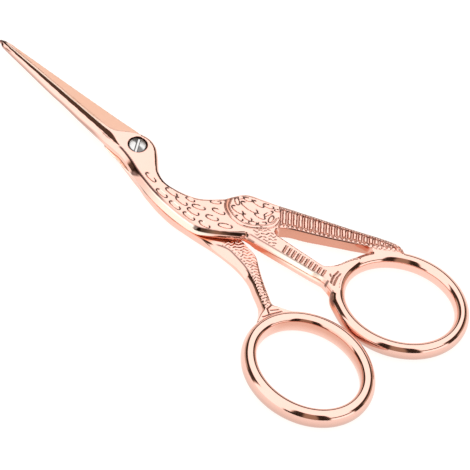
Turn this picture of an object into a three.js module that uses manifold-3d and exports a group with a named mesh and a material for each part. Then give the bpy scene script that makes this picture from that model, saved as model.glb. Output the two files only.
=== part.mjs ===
// Sewing scissors with stork-shaped handles, lying closed.
// Two forged halves, each with its blade and finger ring, cross at one slotted pivot screw.
// Millimetres, +Z up. The pivot axis is the Z axis and the scissors lie on the plane z = 0.
// +X runs from the blade tips to the finger rings, and +Y points to the front half's ring.

import * as THREE from 'three';
import { mergeVertices } from 'three/addons/utils/BufferGeometryUtils.js';
import Module from 'manifold-3d';

const wasm = await Module();
wasm.setup();

// Stack: the halves lie on each other, with their inner faces on either side of the mating plane
const HALF_THICKNESS = 2.5;
const RUNNING_GAP = 0.1;
const INNER = RUNNING_GAP / 2;
const OUTER = INNER + HALF_THICKNESS;
const EDGE_ROUND_WIDTH = 0.7;
const EDGE_ROUND_HEIGHT = 1.3;
const EDGE_ROUND_LIMIT = 0.8;
const EDGE_ROUND_STEPS = 3;
const OUTLINE_STEPS = 3;

// Pivot screw
const SCREW_HEAD_RADIUS = 2.0;
const SCREW_HEAD_HEIGHT = 0.9;
const SCREW_HEAD_DOME = 0.15;
const SCREW_SHANK_RADIUS = 1.2;
const SCREW_CLEARANCE = 0.05;
const SLOT_WIDTH = 0.65;
const SLOT_DEPTH = 0.5;
const SLOT_ANGLE = THREE.MathUtils.degToRad(-60);
const ROUND_SIDES = 40;

// Blades: both are ground to one centre line, which passes just beside the pivot
const BLADE_LENGTH = 38.2;
const BLADE_LINE_Y = -0.45;
const TIP_ROUND = 1.4;
const HEEL_X = -8.5;
const HEAD_X = -1.5;
const SPINE_AT_TIP = 0.85;
const FRONT_SPINE_AT_HEEL = 3.04;
const BACK_SPINE_AT_HEEL = 3.6;
const EDGE_AT_TIP = 0.5;
const EDGE_AT_HEEL = 0.8;
const EDGE_THICKNESS = 0.2;
const STRIP_WIDTH = 0.8;
const RIDGE_AT_TIP = 0.65;
const RIDGE_AT_HEEL = 1.65;
const RIDGE_SHARE = 0.28;
const RIDGE_RUNOUT = 0.1;
const SPINE_ROUND_SHARE = 0.25;
const SPINE_ROUND_HEIGHT = 0.65;
const TIP_BLUNTNESS = 0.2;
const TIP_STATIONS = [0, 0.15, 0.4, 0.7, 1];
const BLADE_STEPS = 6;
const HEEL_STEPS = 7;
const FRONT_SHOULDER = 2.4;
const BACK_SHOULDER = 2.75;
const BACK_SHOULDER_START = -11;
const SHOULDER_LENGTH = 7.5;

// Finger rings: oval spines with an upright oval section as tall as the two halves
const RING_LONG = 13.1;
const RING_SHORT = 11.05;
const RING_WIDTH = 3.46;
const RING_GAP = 0.3;
const RING_MEETING_Y = -0.7;
const FRONT_RING_TURN = THREE.MathUtils.degToRad(21.5);
const BACK_RING_TURN = THREE.MathUtils.degToRad(1.4);
const FRONT_RING_START_X = 50.2;
const BACK_RING_START_X = 48.2;
const RING_STEPS = 56;
const RING_SIDES = 12;

// Bars that carry the rings: where each starts, its widths, and where on the ring it ends
const FRONT_LEG = { start: [31, 2.45], widths: [5.0, 3.3], ringAngle: 190, outward: 0 };
const FRONT_TAIL = { start: [32.2, 8.45], widths: [6.3, 2.6], ringAngle: 109, outward: 0.9 };
const BACK_LEG = { start: [35.5, -2.9], widths: [3.8, 3.4], ringAngle: 163, outward: 0 };

// Flat webs in the corners between a leg and its ring: how far round the ring each one reaches
const FRONT_WEB_TURNS = { left: -22, right: 14 };
const BACK_WEB_TURNS = { left: -20, right: 20 };
const WEB_REACH = 5.2;
const WEB_DROP = 0.4;
const WEB_SIDE_SHARE = 0.25;

// Outlines of the halves where they are widest: from the belly along the throat, round the head
// and back along the nape, then straight across the end that the bars leave from
const FRONT_OUTLINE = [
  [30.1, -0.25], [28.3, -2.4], [25.5, -4.6], [22, -6.2], [18, -7.0], [13.5, -7.0], [9, -6.5], [5, -5.5],
  [1, -4.55], [-1.4, -3.95], [-2.9, -2.0], [-2.9, 0.6], [-1.6, 2.6], [0.4, 3.1], [2.9, 2.5], [5.3, 0.4],
  [7.8, -1.75], [11, -2.5], [14.5, -1.85], [17.8, -0.35], [20.4, 2.5], [22.1, 6.0], [24.1, 8.4], [27.5, 9.95],
  [31, 11.5],
];
const FRONT_END = [[35.2, 7.2], [34.6, 5.7], [36.4, 5.4], [36.4, 1.2]];
const BACK_OUTLINE = [
  [37.1, -6.1], [33.7, -5.4], [29.3, -5.6], [26.3, -5.95], [22, -6.6], [17.3, -7.15], [13.5, -7.1], [9, -6.5],
  [5, -5.5], [1, -4.55], [-1.4, -3.95], [-2.9, -2.0], [-2.9, 1.2], [-1.5, 3.5], [0.6, 3.6], [3.1, 2.5],
  [5.4, 0.4], [7.8, -1.75], [11, -2.5], [14.5, -1.9], [18, -0.9], [22, 0.1], [26, 0.55], [30, 0.4], [33, 0.0],
  [35.2, -0.6], [38.9, -2.75],
];

// Longer than the scissors in every direction, for cutting them at the mating plane
const CUT_SPAN = 6 * BLADE_LENGTH;

// Corners closer than this are one corner
const MERGE_DISTANCE = 1e-5;

const roseGold = new THREE.MeshStandardMaterial({ color: 0xe8a07f, metalness: 1, roughness: 0.18 });
const backRoseGold = roseGold.clone();
const steel = new THREE.MeshStandardMaterial({ color: 0xb9b4b0, metalness: 1, roughness: 0.3 });

function toSolid(geometry) {
  geometry.deleteAttribute('normal');
  geometry.deleteAttribute('uv');
  const merged = mergeVertices(geometry, MERGE_DISTANCE);
  return new wasm.Manifold(new wasm.Mesh({
    numProp: 3,
    vertProperties: merged.attributes.position.array,
    triVerts: new Uint32Array(merged.index.array),
  }));
}

function toGeometry(solid) {
  const mesh = solid.getMesh();
  const geometry = new THREE.BufferGeometry();
  geometry.setAttribute('position', new THREE.BufferAttribute(mesh.vertProperties, 3));
  geometry.setIndex(new THREE.BufferAttribute(mesh.triVerts, 1));
  geometry.computeVertexNormals();
  return geometry;
}

function join(solids) {
  return solids.reduce((whole, solid) => whole.add(solid));
}

// A solid skinned over closed sections that all have the same number of corners
function loft(sections) {
  const corners = sections[0].length;
  const positions = sections.flat().flatMap((corner) => corner.toArray());
  const index = [];
  for (let s = 0; s < sections.length - 1; s += 1) {
    for (let c = 0; c < corners; c += 1) {
      const here = s * corners + c;
      const beside = s * corners + ((c + 1) % corners);
      index.push(here, beside, here + corners);
      index.push(beside, beside + corners, here + corners);
    }
  }
  const capOutline = (section) => section.map((corner) => new THREE.Vector2(corner.y, corner.z));
  const last = (sections.length - 1) * corners;
  const startCap = THREE.ShapeUtils.triangulateShape(capOutline(sections[0]), []);
  const endCap = THREE.ShapeUtils.triangulateShape(capOutline(sections.at(-1)), []);
  startCap.forEach(([a, b, c]) => index.push(a, c, b));
  endCap.forEach(([a, b, c]) => index.push(last + a, last + b, last + c));
  const geometry = new THREE.BufferGeometry();
  geometry.setAttribute('position', new THREE.Float32BufferAttribute(positions, 3));
  geometry.setIndex(index);
  return toSolid(geometry);
}

// A slab from -OUTER to OUTER with both outer edges rounded; the shape is its widest outline
function slab(shape) {
  const roundHeight = Math.min(EDGE_ROUND_HEIGHT, EDGE_ROUND_LIMIT * HALF_THICKNESS);
  const depth = 2 * (OUTER - roundHeight);
  const geometry = new THREE.ExtrudeGeometry(shape, {
    depth,
    curveSegments: OUTLINE_STEPS,
    bevelThickness: roundHeight,
    bevelSize: EDGE_ROUND_WIDTH,
    bevelOffset: -EDGE_ROUND_WIDTH,
    bevelSegments: EDGE_ROUND_STEPS,
  });
  geometry.translate(0, 0, -depth / 2);
  return toSolid(geometry);
}

// The part of a solid on one side of the mating plane: side is 1 for the front half, -1 for the back
function cutToSide(solid, side) {
  const block = new THREE.BoxGeometry(CUT_SPAN, CUT_SPAN, CUT_SPAN);
  block.translate(0, 0, side * (INNER + CUT_SPAN / 2));
  return solid.intersect(toSolid(block));
}

function cylinder(radius, low, high) {
  const geometry = new THREE.CylinderGeometry(radius, radius, high - low, ROUND_SIDES);
  geometry.rotateX(Math.PI / 2);
  geometry.translate(0, 0, (low + high) / 2);
  return toSolid(geometry);
}

function smoothRise(value, start, length) {
  return THREE.MathUtils.smoothstep(value, start, start + length);
}

// The corners of a blade's section, with its inner face lowest. Offsets from the blade line are
// positive towards the cutting edge and negative towards the spine. Towards the head the flat strip
// along the edge rises and the hollow between strip and ridge runs out.
function bladeSection(x, blade) {
  const { lerp } = THREE.MathUtils;
  const along = (x + BLADE_LENGTH) / (HEEL_X + BLADE_LENGTH);
  const ground = Math.min(1, along);
  const fromTip = Math.min(1, (x + BLADE_LENGTH) / TIP_ROUND);
  const blunt = Math.max(TIP_BLUNTNESS, Math.sqrt(1 - (1 - fromTip) ** 2));
  const head = smoothRise(x, HEEL_X, HEAD_X - HEEL_X);
  const shoulder = blade.shoulder * smoothRise(x, blade.shoulderStart, SHOULDER_LENGTH);
  const spine = -blunt * lerp(SPINE_AT_TIP, blade.spineAtHeel, along);
  const edge = blunt * lerp(EDGE_AT_TIP, EDGE_AT_HEEL, ground) + shoulder;
  const ridge = lerp(spine, edge, RIDGE_SHARE);
  const hollow = Math.max(edge - STRIP_WIDTH, (ridge + edge) / 2);
  const stripHeight = lerp(EDGE_THICKNESS, HALF_THICKNESS, head);
  const bladeHeight = blunt * lerp(RIDGE_AT_TIP, RIDGE_AT_HEEL, ground);
  const ridgeHeight = lerp(bladeHeight, HALF_THICKNESS, head);
  return [
    [edge, INNER],
    [edge - EDGE_ROUND_WIDTH * head, INNER + stripHeight],
    [lerp(hollow, ridge + RIDGE_RUNOUT, head), INNER + stripHeight],
    [ridge, INNER + ridgeHeight],
    [lerp(spine, ridge, SPINE_ROUND_SHARE), INNER + SPINE_ROUND_HEIGHT * ridgeHeight],
    [spine, INNER],
  ].map(([offset, height]) => new THREE.Vector3(x, BLADE_LINE_Y + offset, height));
}

// Places along X for the sections: close together round the tip and from the heels to the head
function bladeStations() {
  const tip = -BLADE_LENGTH;
  const straight = tip + TIP_ROUND;
  const stations = TIP_STATIONS.map((share) => tip + share * TIP_ROUND);
  for (let step = 1; step <= BLADE_STEPS; step += 1) {
    stations.push(straight + ((BACK_SHOULDER_START - straight) * step) / BLADE_STEPS);
  }
  for (let step = 1; step <= HEEL_STEPS; step += 1) {
    stations.push(BACK_SHOULDER_START + ((HEAD_X - BACK_SHOULDER_START) * step) / HEEL_STEPS);
  }
  return stations;
}

function bladeSolid(blade) {
  return loft(bladeStations().map((x) => bladeSection(x, blade)));
}

function frontBlade() {
  return bladeSolid({
    spineAtHeel: FRONT_SPINE_AT_HEEL, shoulder: FRONT_SHOULDER, shoulderStart: HEEL_X,
  });
}

// The back blade is the same form turned half round about the blade line
function backBlade() {
  const solid = bladeSolid({
    spineAtHeel: BACK_SPINE_AT_HEEL, shoulder: BACK_SHOULDER, shoulderStart: BACK_SHOULDER_START,
  });
  const geometry = toGeometry(solid);
  geometry.translate(0, -BLADE_LINE_Y, 0);
  geometry.rotateX(Math.PI);
  geometry.translate(0, BLADE_LINE_Y, 0);
  return toSolid(geometry);
}

// How far an oval ring's spine reaches from its centre along X and along Y, turned by an angle
function ringReach(turn) {
  return {
    x: Math.hypot(RING_LONG * Math.cos(turn), RING_SHORT * Math.sin(turn)),
    y: Math.hypot(RING_LONG * Math.sin(turn), RING_SHORT * Math.cos(turn)),
  };
}

// The closed rings keep RING_GAP between them across the line where they meet
function ringPlace(turn, startX, side) {
  const reach = ringReach(turn);
  const y = RING_MEETING_Y + side * (RING_GAP / 2 + RING_WIDTH / 2 + reach.y);
  return { turn, centre: new THREE.Vector2(startX + reach.x, y) };
}

const FRONT_RING = ringPlace(FRONT_RING_TURN, FRONT_RING_START_X, 1);
const BACK_RING = ringPlace(BACK_RING_TURN, BACK_RING_START_X, -1);

// A point beside a ring's spine at an angle on its oval, moved outward from the spine
function ringPoint(ring, angle, outward) {
  const spine = new THREE.Vector2(RING_LONG * Math.cos(angle), RING_SHORT * Math.sin(angle));
  const normal = new THREE.Vector2(RING_SHORT * Math.cos(angle), RING_LONG * Math.sin(angle)).normalize();
  const point = spine.addScaledVector(normal, outward);
  return point.rotateAround(new THREE.Vector2(), ring.turn).add(ring.centre);
}

function ringSolid(ring) {
  const positions = [];
  const index = [];
  for (let step = 0; step < RING_STEPS; step += 1) {
    const angle = (2 * Math.PI * step) / RING_STEPS;
    for (let side = 0; side < RING_SIDES; side += 1) {
      const round = (2 * Math.PI * side) / RING_SIDES;
      const point = ringPoint(ring, angle, (RING_WIDTH / 2) * Math.cos(round));
      positions.push(point.x, point.y, OUTER * Math.sin(round));
      const nextStep = ((step + 1) % RING_STEPS) * RING_SIDES;
      const nextSide = (side + 1) % RING_SIDES;
      const here = step * RING_SIDES;
      index.push(here + side, nextStep + side, here + nextSide);
      index.push(nextStep + side, nextStep + nextSide, here + nextSide);
    }
  }
  const geometry = new THREE.BufferGeometry();
  geometry.setAttribute('position', new THREE.Float32BufferAttribute(positions, 3));
  geometry.setIndex(index);
  return toSolid(geometry);
}

function barEnds(bar, ring) {
  const angle = THREE.MathUtils.degToRad(bar.ringAngle);
  const start = new THREE.Vector2(...bar.start);
  const end = ringPoint(ring, angle, bar.outward);
  const across = end.clone().sub(start).normalize().rotateAround(new THREE.Vector2(), Math.PI / 2);
  return { start, end, across };
}

// A tapered bar from a half's body to its ring
function barSolid(bar, ring) {
  const { start, end, across } = barEnds(bar, ring);
  const [startWidth, endWidth] = bar.widths;
  return slab(new THREE.Shape([
    start.clone().addScaledVector(across, -startWidth / 2),
    end.clone().addScaledVector(across, -endWidth / 2),
    end.clone().addScaledVector(across, endWidth / 2),
    start.clone().addScaledVector(across, startWidth / 2),
  ]));
}

// A flat web in the corner between a bar and its ring: side is 1 to the bar's left, -1 to its right
function webSolid(bar, ring, ringTurn, side) {
  const { start, end, across } = barEnds(bar, ring);
  const angle = THREE.MathUtils.degToRad(bar.ringAngle + ringTurn);
  const back = start.clone().sub(end).normalize();
  const onBar = end.clone().addScaledVector(back, WEB_REACH);
  onBar.addScaledVector(across, side * WEB_SIDE_SHARE * bar.widths[1]);
  const corners = [end, onBar, ringPoint(ring, angle, 0)];
  const height = 2 * (OUTER - WEB_DROP);
  const geometry = new THREE.ExtrudeGeometry(new THREE.Shape(corners), { depth: height, bevelEnabled: false });
  geometry.translate(0, 0, -height / 2);
  return toSolid(geometry);
}

function bodyShape(outline, end) {
  const [first, ...others] = outline;
  const shape = new THREE.Shape();
  shape.moveTo(...first);
  shape.splineThru(others.map(([x, y]) => new THREE.Vector2(x, y)));
  end.forEach(([x, y]) => shape.lineTo(x, y));
  return shape;
}

// The front half has the head, neck, body and tail on top; the screw's head sits in its counterbore
function frontHalf() {
  const flat = join([
    slab(bodyShape(FRONT_OUTLINE, FRONT_END)),
    barSolid(FRONT_LEG, FRONT_RING),
    barSolid(FRONT_TAIL, FRONT_RING),
    webSolid(FRONT_LEG, FRONT_RING, FRONT_WEB_TURNS.left, 1),
    webSolid(FRONT_LEG, FRONT_RING, FRONT_WEB_TURNS.right, -1),
  ]);
  const solid = join([cutToSide(flat, 1), frontBlade(), ringSolid(FRONT_RING)]);
  const bore = cylinder(SCREW_SHANK_RADIUS + SCREW_CLEARANCE, -OUTER, 2 * OUTER);
  const counterbore = cylinder(SCREW_HEAD_RADIUS + SCREW_CLEARANCE, OUTER - SCREW_HEAD_HEIGHT, 2 * OUTER);
  const mesh = new THREE.Mesh(toGeometry(solid.subtract(bore).subtract(counterbore)), roseGold);
  mesh.name = 'front_half';
  return mesh;
}

// The back half lies below with its own neck and leg, and takes the screw's thread
function backHalf() {
  const flat = join([
    slab(bodyShape(BACK_OUTLINE, [])),
    barSolid(BACK_LEG, BACK_RING),
    webSolid(BACK_LEG, BACK_RING, BACK_WEB_TURNS.left, 1),
    webSolid(BACK_LEG, BACK_RING, BACK_WEB_TURNS.right, -1),
  ]);
  const solid = join([cutToSide(flat, -1), backBlade(), ringSolid(BACK_RING)]);
  const threadHole = cylinder(SCREW_SHANK_RADIUS + SCREW_CLEARANCE, -2 * OUTER, OUTER);
  const mesh = new THREE.Mesh(toGeometry(solid.subtract(threadHole)), backRoseGold);
  mesh.name = 'back_half';
  return mesh;
}

// The screw ends flush with the back half's underside
function pivotScrew() {
  const seat = OUTER - SCREW_HEAD_HEIGHT + SCREW_CLEARANCE;
  const profile = [
    [0, -OUTER],
    [SCREW_SHANK_RADIUS, -OUTER],
    [SCREW_SHANK_RADIUS, seat],
    [SCREW_HEAD_RADIUS, seat],
    [SCREW_HEAD_RADIUS, OUTER - SCREW_HEAD_DOME],
    [SCREW_HEAD_RADIUS / 2, OUTER - SCREW_HEAD_DOME / 4],
    [0, OUTER],
  ].map(([radius, height]) => new THREE.Vector2(radius, height));
  const turned = new THREE.LatheGeometry(profile, ROUND_SIDES);
  turned.rotateX(Math.PI / 2);
  const slot = new THREE.BoxGeometry(3 * SCREW_HEAD_RADIUS, SLOT_WIDTH, 2 * SLOT_DEPTH);
  slot.rotateZ(SLOT_ANGLE);
  slot.translate(0, 0, OUTER);
  const mesh = new THREE.Mesh(toGeometry(toSolid(turned).subtract(toSolid(slot))), steel);
  mesh.name = 'pivot_screw';
  return mesh;
}

// The front half turns on the screw, so it has a group of its own at the pivot axis
const openingHalf = new THREE.Group();
openingHalf.add(frontHalf());

const scissors = new THREE.Group();
scissors.position.z = OUTER;
scissors.add(backHalf(), pivotScrew(), openingHalf);

export default scissors;
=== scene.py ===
import math

import bpy
import numpy as np
from mathutils import Matrix, Vector


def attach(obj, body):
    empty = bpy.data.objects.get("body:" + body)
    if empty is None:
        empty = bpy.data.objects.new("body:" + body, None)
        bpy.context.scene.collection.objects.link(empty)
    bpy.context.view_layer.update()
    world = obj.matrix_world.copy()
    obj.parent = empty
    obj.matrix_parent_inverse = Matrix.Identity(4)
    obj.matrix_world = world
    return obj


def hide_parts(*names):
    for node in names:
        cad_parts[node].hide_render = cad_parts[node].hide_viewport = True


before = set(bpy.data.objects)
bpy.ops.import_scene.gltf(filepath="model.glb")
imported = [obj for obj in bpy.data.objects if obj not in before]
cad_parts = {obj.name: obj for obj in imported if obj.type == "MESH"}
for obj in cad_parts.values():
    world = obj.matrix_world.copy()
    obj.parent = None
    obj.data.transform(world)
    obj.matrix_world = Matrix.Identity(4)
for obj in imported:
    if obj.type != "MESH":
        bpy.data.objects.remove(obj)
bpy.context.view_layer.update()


def grow(start, full, level=1):
    """Stops of a profile, (place, level) each: nothing up to the start, and the level from full on"""
    return [(start, 0), (full, level)]


def fade(full, end, level=1):
    return [(full, level), (end, 0)]


def span(start, full, last, end, level=1):
    return grow(start, full, level) + fade(last, end, level)


def above(limit):
    return grow(limit, limit)


def below(limit):
    return fade(limit, limit)


# The forms below are worked out in millimetres, with the pivot axis at x = y = 0 and z = 0 on the
# plane where the two halves meet. That plane lies OUTER above the table, the halves' inner faces keep
# INNER clear of it, and the blades go over into the heads at HEAD_X.
MILLIMETRE = 0.001
INNER = 0.05
OUTER = 2.55
HEAD_X = -1.0
TINY = 1e-9

# Sides of the halves: the chamfer round the front half's top face, which is wider at the throat and
# lower on the belly, the round in its place on neck and body, the steep wall below the tail, the buffed
# rim of the top face, and how the sides draw in towards the seam between the halves
CHAMFER_WIDTH = 0.7
CHAMFER_HEIGHT = 1.3
CHAMFER_BLEND = 0.3
THROAT_CHAMFER = 0.3
BELLY_CHAMFER = 0.75
BELLY_MOST_Y = 1.0
ROUND_SHARE = 0.9
MOST_ROUND = 0.98
ROUND_EXTRA = 0.75
TAIL_WALL_SHARE = 0.9
TOP_ROUND = 0.12
FINE_ROUND = 0.05
BUFFED_WIDTH = 0.3
BUFFED_DROP = 0.1
MOST_BUFFED = 1.5
FRONT_SEAM = 0.3
SEAM_REACH = 1.0
SEAM_POWER = 1.5

# Where forms come and go along x, and last the power of the curve that the back half's side follows
# below its inner face
HEADS = grow(-2.5, 0)
THROAT = fade(3.5, 7.5)
BELLY = span(21, 22.4, 30, 31)
ROUND_SIDES = fade(29, 31)
SEAM_ENDS = fade(29.5, 31.5)
BUFFED_ALONG = [(24, 1), (32, 0.4)]
LOWERED_LEG = grow(31.5, 33.5)
FORK = grow(33, 34.5)
LOWERED_TO_RING = grow(44, 47)
HEEL = span(-7, -5, 5, 9)
BACK_BELLY = span(22.5, 28.5, 32, 37)
BACK_LEG = span(33, 38, 44, 47)
BACK_CURVE = [(33, 2.5), (37, 1)]
# The same along -y from the pivot axis, along y from the fork's line, and in from carved faces' edges
THROAT_BELOW = grow(0, 2)
ABOVE_FORK = grow(-0.6, 0.6)
FRONT_CARVED = grow(-0.1, 0.22)
BACK_CARVED = grow(0.05, 0.3)
OUTER_CARVED = grow(0.1, 0.4)

# Pivot screw, its seat and bore, and the painted shade on its rim, beside its slot and between painted glints
SCREW_RADIUS = 1.93
SCREW_SEAT = 1.7
SCREW_DOME = 0.3
SCREW_HEAD_ROUND = 0.25
SHANK_RADIUS = 1.2
SHANK_ROUND = 0.08
SHANK_OVERLAP = 0.2
SLOT_WIDTH = 0.62
SLOT_DEPTH = 0.5
SLOT_ROUND = 0.06
SLOT_TURN = math.radians(-60)
GLINT_TURN = math.radians(55)
BORE_RADIUS = 1.25
SEAT_RADIUS = 2.02
SEAT_CHAMFER = 0.06
SEAT_CLEARANCE = 0.05
RIM_SHADE = grow(-0.4, -0.1)
SLOT_SHADE_HALF_WIDTH = 0.1
GLINT_SHADE = grow(0.45, 0.85, 0.75)

# Finger rings: half length and half width of the oval, then each ring's centre, turn in degrees, half
# width and half height of its band, and how square the band is on its inner side, from 2 for an oval
RING_LONG = 13.08
RING_SHORT = 11.03
FRONT_RING = (63.05, 12.46, 21.5, 1.52, 2.05, 2.0)
BACK_RING = (61.25, -13.48, 1.3, 1.6, 2.25, 3.0)
RING_FILLET = 0.5
# The thicker place of the front ring's outer side below the leg: centre, reach and height
RING_SHOULDER = (52.5, 2.0, 2.0, 0.36)
# How the front half's top face goes down to its ring, against the distance from the band's middle line
RING_SLOPE = fade(0.3, 3)

# Blades, seen from the front half: the cutting edge's line, the edge of the flat strip above it and
# the spine's line as (x, y)
BLADE_LINE_Y = -0.45
EDGE_THICKNESS = 0.25
LEAST_FACET = 0.05
SIDE_BLEND = 0.15
CUTTING_EDGE = [
    (-38.2, -0.5), (-37.9, -0.1), (-37.4, 0.04), (-36, 0.06), (-20, 0.06), (-9, 0.08), (-7.5, 0.2),
    (-6.3, 0.55), (-5, 1.1), (-3.9, 1.75), (-2.9, 2.3), (-1.9, 2.7), (-0.9, 2.85), (0.5, 2.85),
]
STRIP_EDGE = [
    (-38.2, -0.52), (-34, -0.34), (-30, -0.34), (-26, -0.38), (-22, -0.43), (-18, -0.47), (-14, -0.59),
    (-12, -0.64), (-8, -0.76), (-7, -0.67), (-6, -0.45), (-5, 0.15), (-4, 0.85), (-3, 1.5), (-2, 2.06),
    (-1, 2.42),
]
SPINE = [
    (0.5, -3.9), (-2.5, -3.95), (-5, -3.88), (-8, -3.7), (-12, -3.47), (-14, -3.34), (-18, -3.02),
    (-22, -2.84), (-26, -2.55), (-30, -2.23), (-34, -1.94), (-36, -1.77), (-37.2, -1.62), (-37.9, -1.2),
]
BACK_CUTTING_EDGE = [
    (-38.2, -0.55), (-37.9, -0.25), (-37, -0.05), (-35, 0.02), (-20, 0.05), (-11, 0.15), (-9.6, 0.45),
    (-8.3, 1), (-7, 1.85), (-6.1, 2.72), (-5.65, 3.22), (-5.15, 3.47), (-4.65, 3.55), (-4, 3.6),
    (-3, 3.74), (-2.2, 3.75), (-1.2, 2.9), (0.5, 2.2),
]
BACK_SPINE = [
    (0.5, -4.6), (-2.9, -4.7), (-4, -4.62), (-5, -4.5), (-6, -4.38), (-7, -4.25), (-8.5, -4.08),
    (-20, -2.92), (-34, -1.59), (-36.6, -1.34), (-37.7, -1.05),
]
# Sections of the blades: x, the strip's height, the hollow line's y, the ridge's y and height
BLADE_SECTIONS = [
    (-38.2, 0.54, -0.5, -0.95, 0.66), (-36.5, 0.64, -0.65, -1.18, 0.77), (-34, 0.73, -0.77, -1.42, 0.89),
    (-30, 0.8, -0.83, -1.6, 0.99), (-26, 0.88, -0.88, -1.78, 1.12), (-22, 0.95, -0.92, -1.99, 1.22),
    (-18, 1.1, -1.07, -2.22, 1.42), (-14, 1.29, -1.18, -2.44, 1.61), (-12, 1.41, -1.28, -2.57, 1.74),
    (-8, 1.65, -1.41, -2.8, 1.96), (-6.5, 1.79, -1.45, -2.96, 2.09), (-5, 2.03, -1.85, -3.14, 2.27),
    (-4, 2.2, -2.3, -3.21, 2.37), (-3, 2.36, -2.7, -3.26, 2.46), (-2, 2.5, -2.99, -3.21, 2.53),
    (-1, 2.55, -3.29, -3.33, 2.55),
]
# How far the spine's side stands out beyond its line at mid height, and the share of the height up
# to there, against x
SPINE_BULGE = [(-37, 0.02), (-12, 0.02), (-8, 0.1), (-5, 0.2), (-3, 0.25), (-1, 0.3)]
SPINE_WALL_SHARE = [
    (-36, 0.55), (-30, 0.46), (-22, 0.33), (-14, 0.34), (-8, 0.46), (-3, 0.53), (-1, 0.56),
]

# The edge of the front half's top face between strip and ridge: head, nape, back, tail, crotch, leg,
# belly, throat
FRONT_TOP = [
    (-0.4, 2.55), (0.4, 2.65), (1.5, 2.6), (2.8, 2.12), (4, 1.17), (5, 0.25), (6, -0.75), (7, -1.65),
    (8, -2.25), (9, -2.65), (10, -2.88), (11, -2.93), (12, -2.82), (13, -2.62), (14, -2.38),
    (15.5, -1.88), (17, -1.2), (18, -0.6), (19, 0.25), (20, 1.3), (21, 2.5), (21.8, 3.5), (22.2, 4.4),
    (22.6, 5.3), (23.1, 6.3), (23.7, 7.2), (24.4, 7.85), (25.3, 8.35), (26.5, 8.85), (28, 9.5),
    (29.5, 10.15), (31, 10.95), (33, 12), (35, 13.05), (37, 14.05), (40, 15.5), (43, 16.95), (46, 18.45),
    (48, 19.5), (50, 20.5), (52, 21.4), (53.5, 21.95), (54.8, 22), (55.6, 21.3), (54.9, 20.4), (53.4, 19),
    (52, 17.5), (50.9, 17.2), (49.8, 17.2), (48.5, 16.4), (47, 15.3), (45, 13.95), (43, 12.6),
    (40, 10.75), (38, 9.55), (36, 8.3), (34.7, 7.3), (33.9, 6.4), (33.9, 5.6), (34.5, 4.95), (35.5, 4.85),
    (37, 5.05), (39, 5.3), (41, 5.55), (43, 5.85), (45, 6.1), (46.7, 6.4), (47.6, 7.25), (48.25, 8.25),
    (48.75, 9.4), (49.1, 10.8), (49.6, 12.3), (50.2, 13.2), (50.35, 11.5), (50.45, 9.6), (50.95, 7.7),
    (51.8, 6), (52.6, 4.9), (52.2, 4.15), (51.2, 4.1), (49.9, 4.35), (48.6, 4.38), (46, 3.8), (44, 3.4),
    (41, 2.82), (38, 2.22), (36, 1.85), (33, 1.25), (31.5, 0.95), (30.5, 0.68), (29.9, 0.25),
    (29.3, -0.38), (28, -1.6), (26, -3.4), (24, -5), (22.6, -5.8), (21, -6.15), (18, -6.4), (16, -6.45),
    (14, -6.4), (12, -6.25), (10, -6), (8, -5.62), (6, -5.17), (4, -4.62), (2, -3.97), (0, -3.5),
]

# The edge of the back half's inner face, in the same order without the tail
BACK_INNER = [
    (-1.6, 2.9), (0.6, 3.3), (3, 2.3), (5.3, 0.2), (7.8, -1.95), (11, -2.7), (14.5, -2.1), (18, -1.1),
    (22, -0.2), (26, 0.15), (30.3, -0.1), (32, -0.35), (33.5, -0.5), (34.7, -0.75), (35.7, -1.25),
    (37, -2.1), (39, -3.4), (41, -4.6), (43, -5.7), (45.2, -6.85), (46.5, -6.5), (48.2, -5.75),
    (50.2, -4.6), (51.6, -4.9), (50.4, -8), (49.2, -12), (48, -14), (46.6, -13.3), (45.8, -11.9),
    (45.1, -10.4), (44.7, -9.2), (43.8, -8.45), (42, -7.35), (40, -6.25), (38, -5.25), (36.5, -4.62),
    (35, -4.18), (33.5, -3.92), (32, -3.7), (30, -3.57), (28.5, -3.95), (26.6, -4.85), (24.5, -5.75),
    (22, -6.35), (17.3, -6.95), (13.5, -6.9), (9, -6.35), (7.5, -6), (6, -5.65), (4, -5.38), (2, -5.24),
    (0.4, -5.18), (-0.6, -5.02), (-1.6, -4.8), (-2.6, -4.2), (-3.1, -2), (-3.1, 1), (-2.6, 2.4),
]

# The back half's widest outline, a little below its inner face and BACK_WIDER beside it along nape and
# back, then how the sides go down from there and roll over from the inner face
BACK_WIDER = 0.2
BACK_WIDE = [
    (-1.8, 3.1), *((x, y + BACK_WIDER) for x, y in BACK_INNER[1:13]),
    (35, -0.55), (36, -1.05), (37.2, -1.9), (39.2, -3.2), (41.2, -4.4), (43.2, -5.5), (45.3, -6.6),
    (46.7, -6.2), (48.4, -5.5), (50.2, -4.5), (51.6, -4.9), (50.4, -8), (49.2, -12), (48, -14),
    (46.6, -13.4), (45.6, -12), (44.7, -10.6), (43.6, -9.3), (42.2, -8.44), (40.2, -7.44), (38.2, -6.39),
    (36.2, -5.79), (34.2, -5.49), (32.2, -5.39), (30.2, -5.44), (28.2, -5.59), (26.2, -5.84),
    (24.2, -6.19), (22.2, -6.49), (20.2, -6.74), (18.2, -6.99), (16.2, -7.09), (14.2, -6.99),
    (12.2, -6.79), (10.2, -6.44), (8.2, -6.04), (6.2, -5.44), (4.2, -5.03), (2.2, -4.53), (0.2, -4.08),
    (-1.8, -3.6), (-2.8, -2.9), (-3.2, -1.5), (-3.2, 1), (-2.8, 2.4),
]
BACK_WIDE_DEPTH = 1.9
BACK_EDGE_LOW = 1.8
BACK_EDGE_WIDTH = 0.6
BACK_ROUND = 0.5
BACK_BLADE_BLEND = 0.5
BACK_ROLL = 0.9
HEEL_ROLL = 0.45
HEEL_MOST_Y = -2.0
BELLY_ROLL = 1.3
BACK_BELLY_MOST_Y = -1.5

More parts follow.
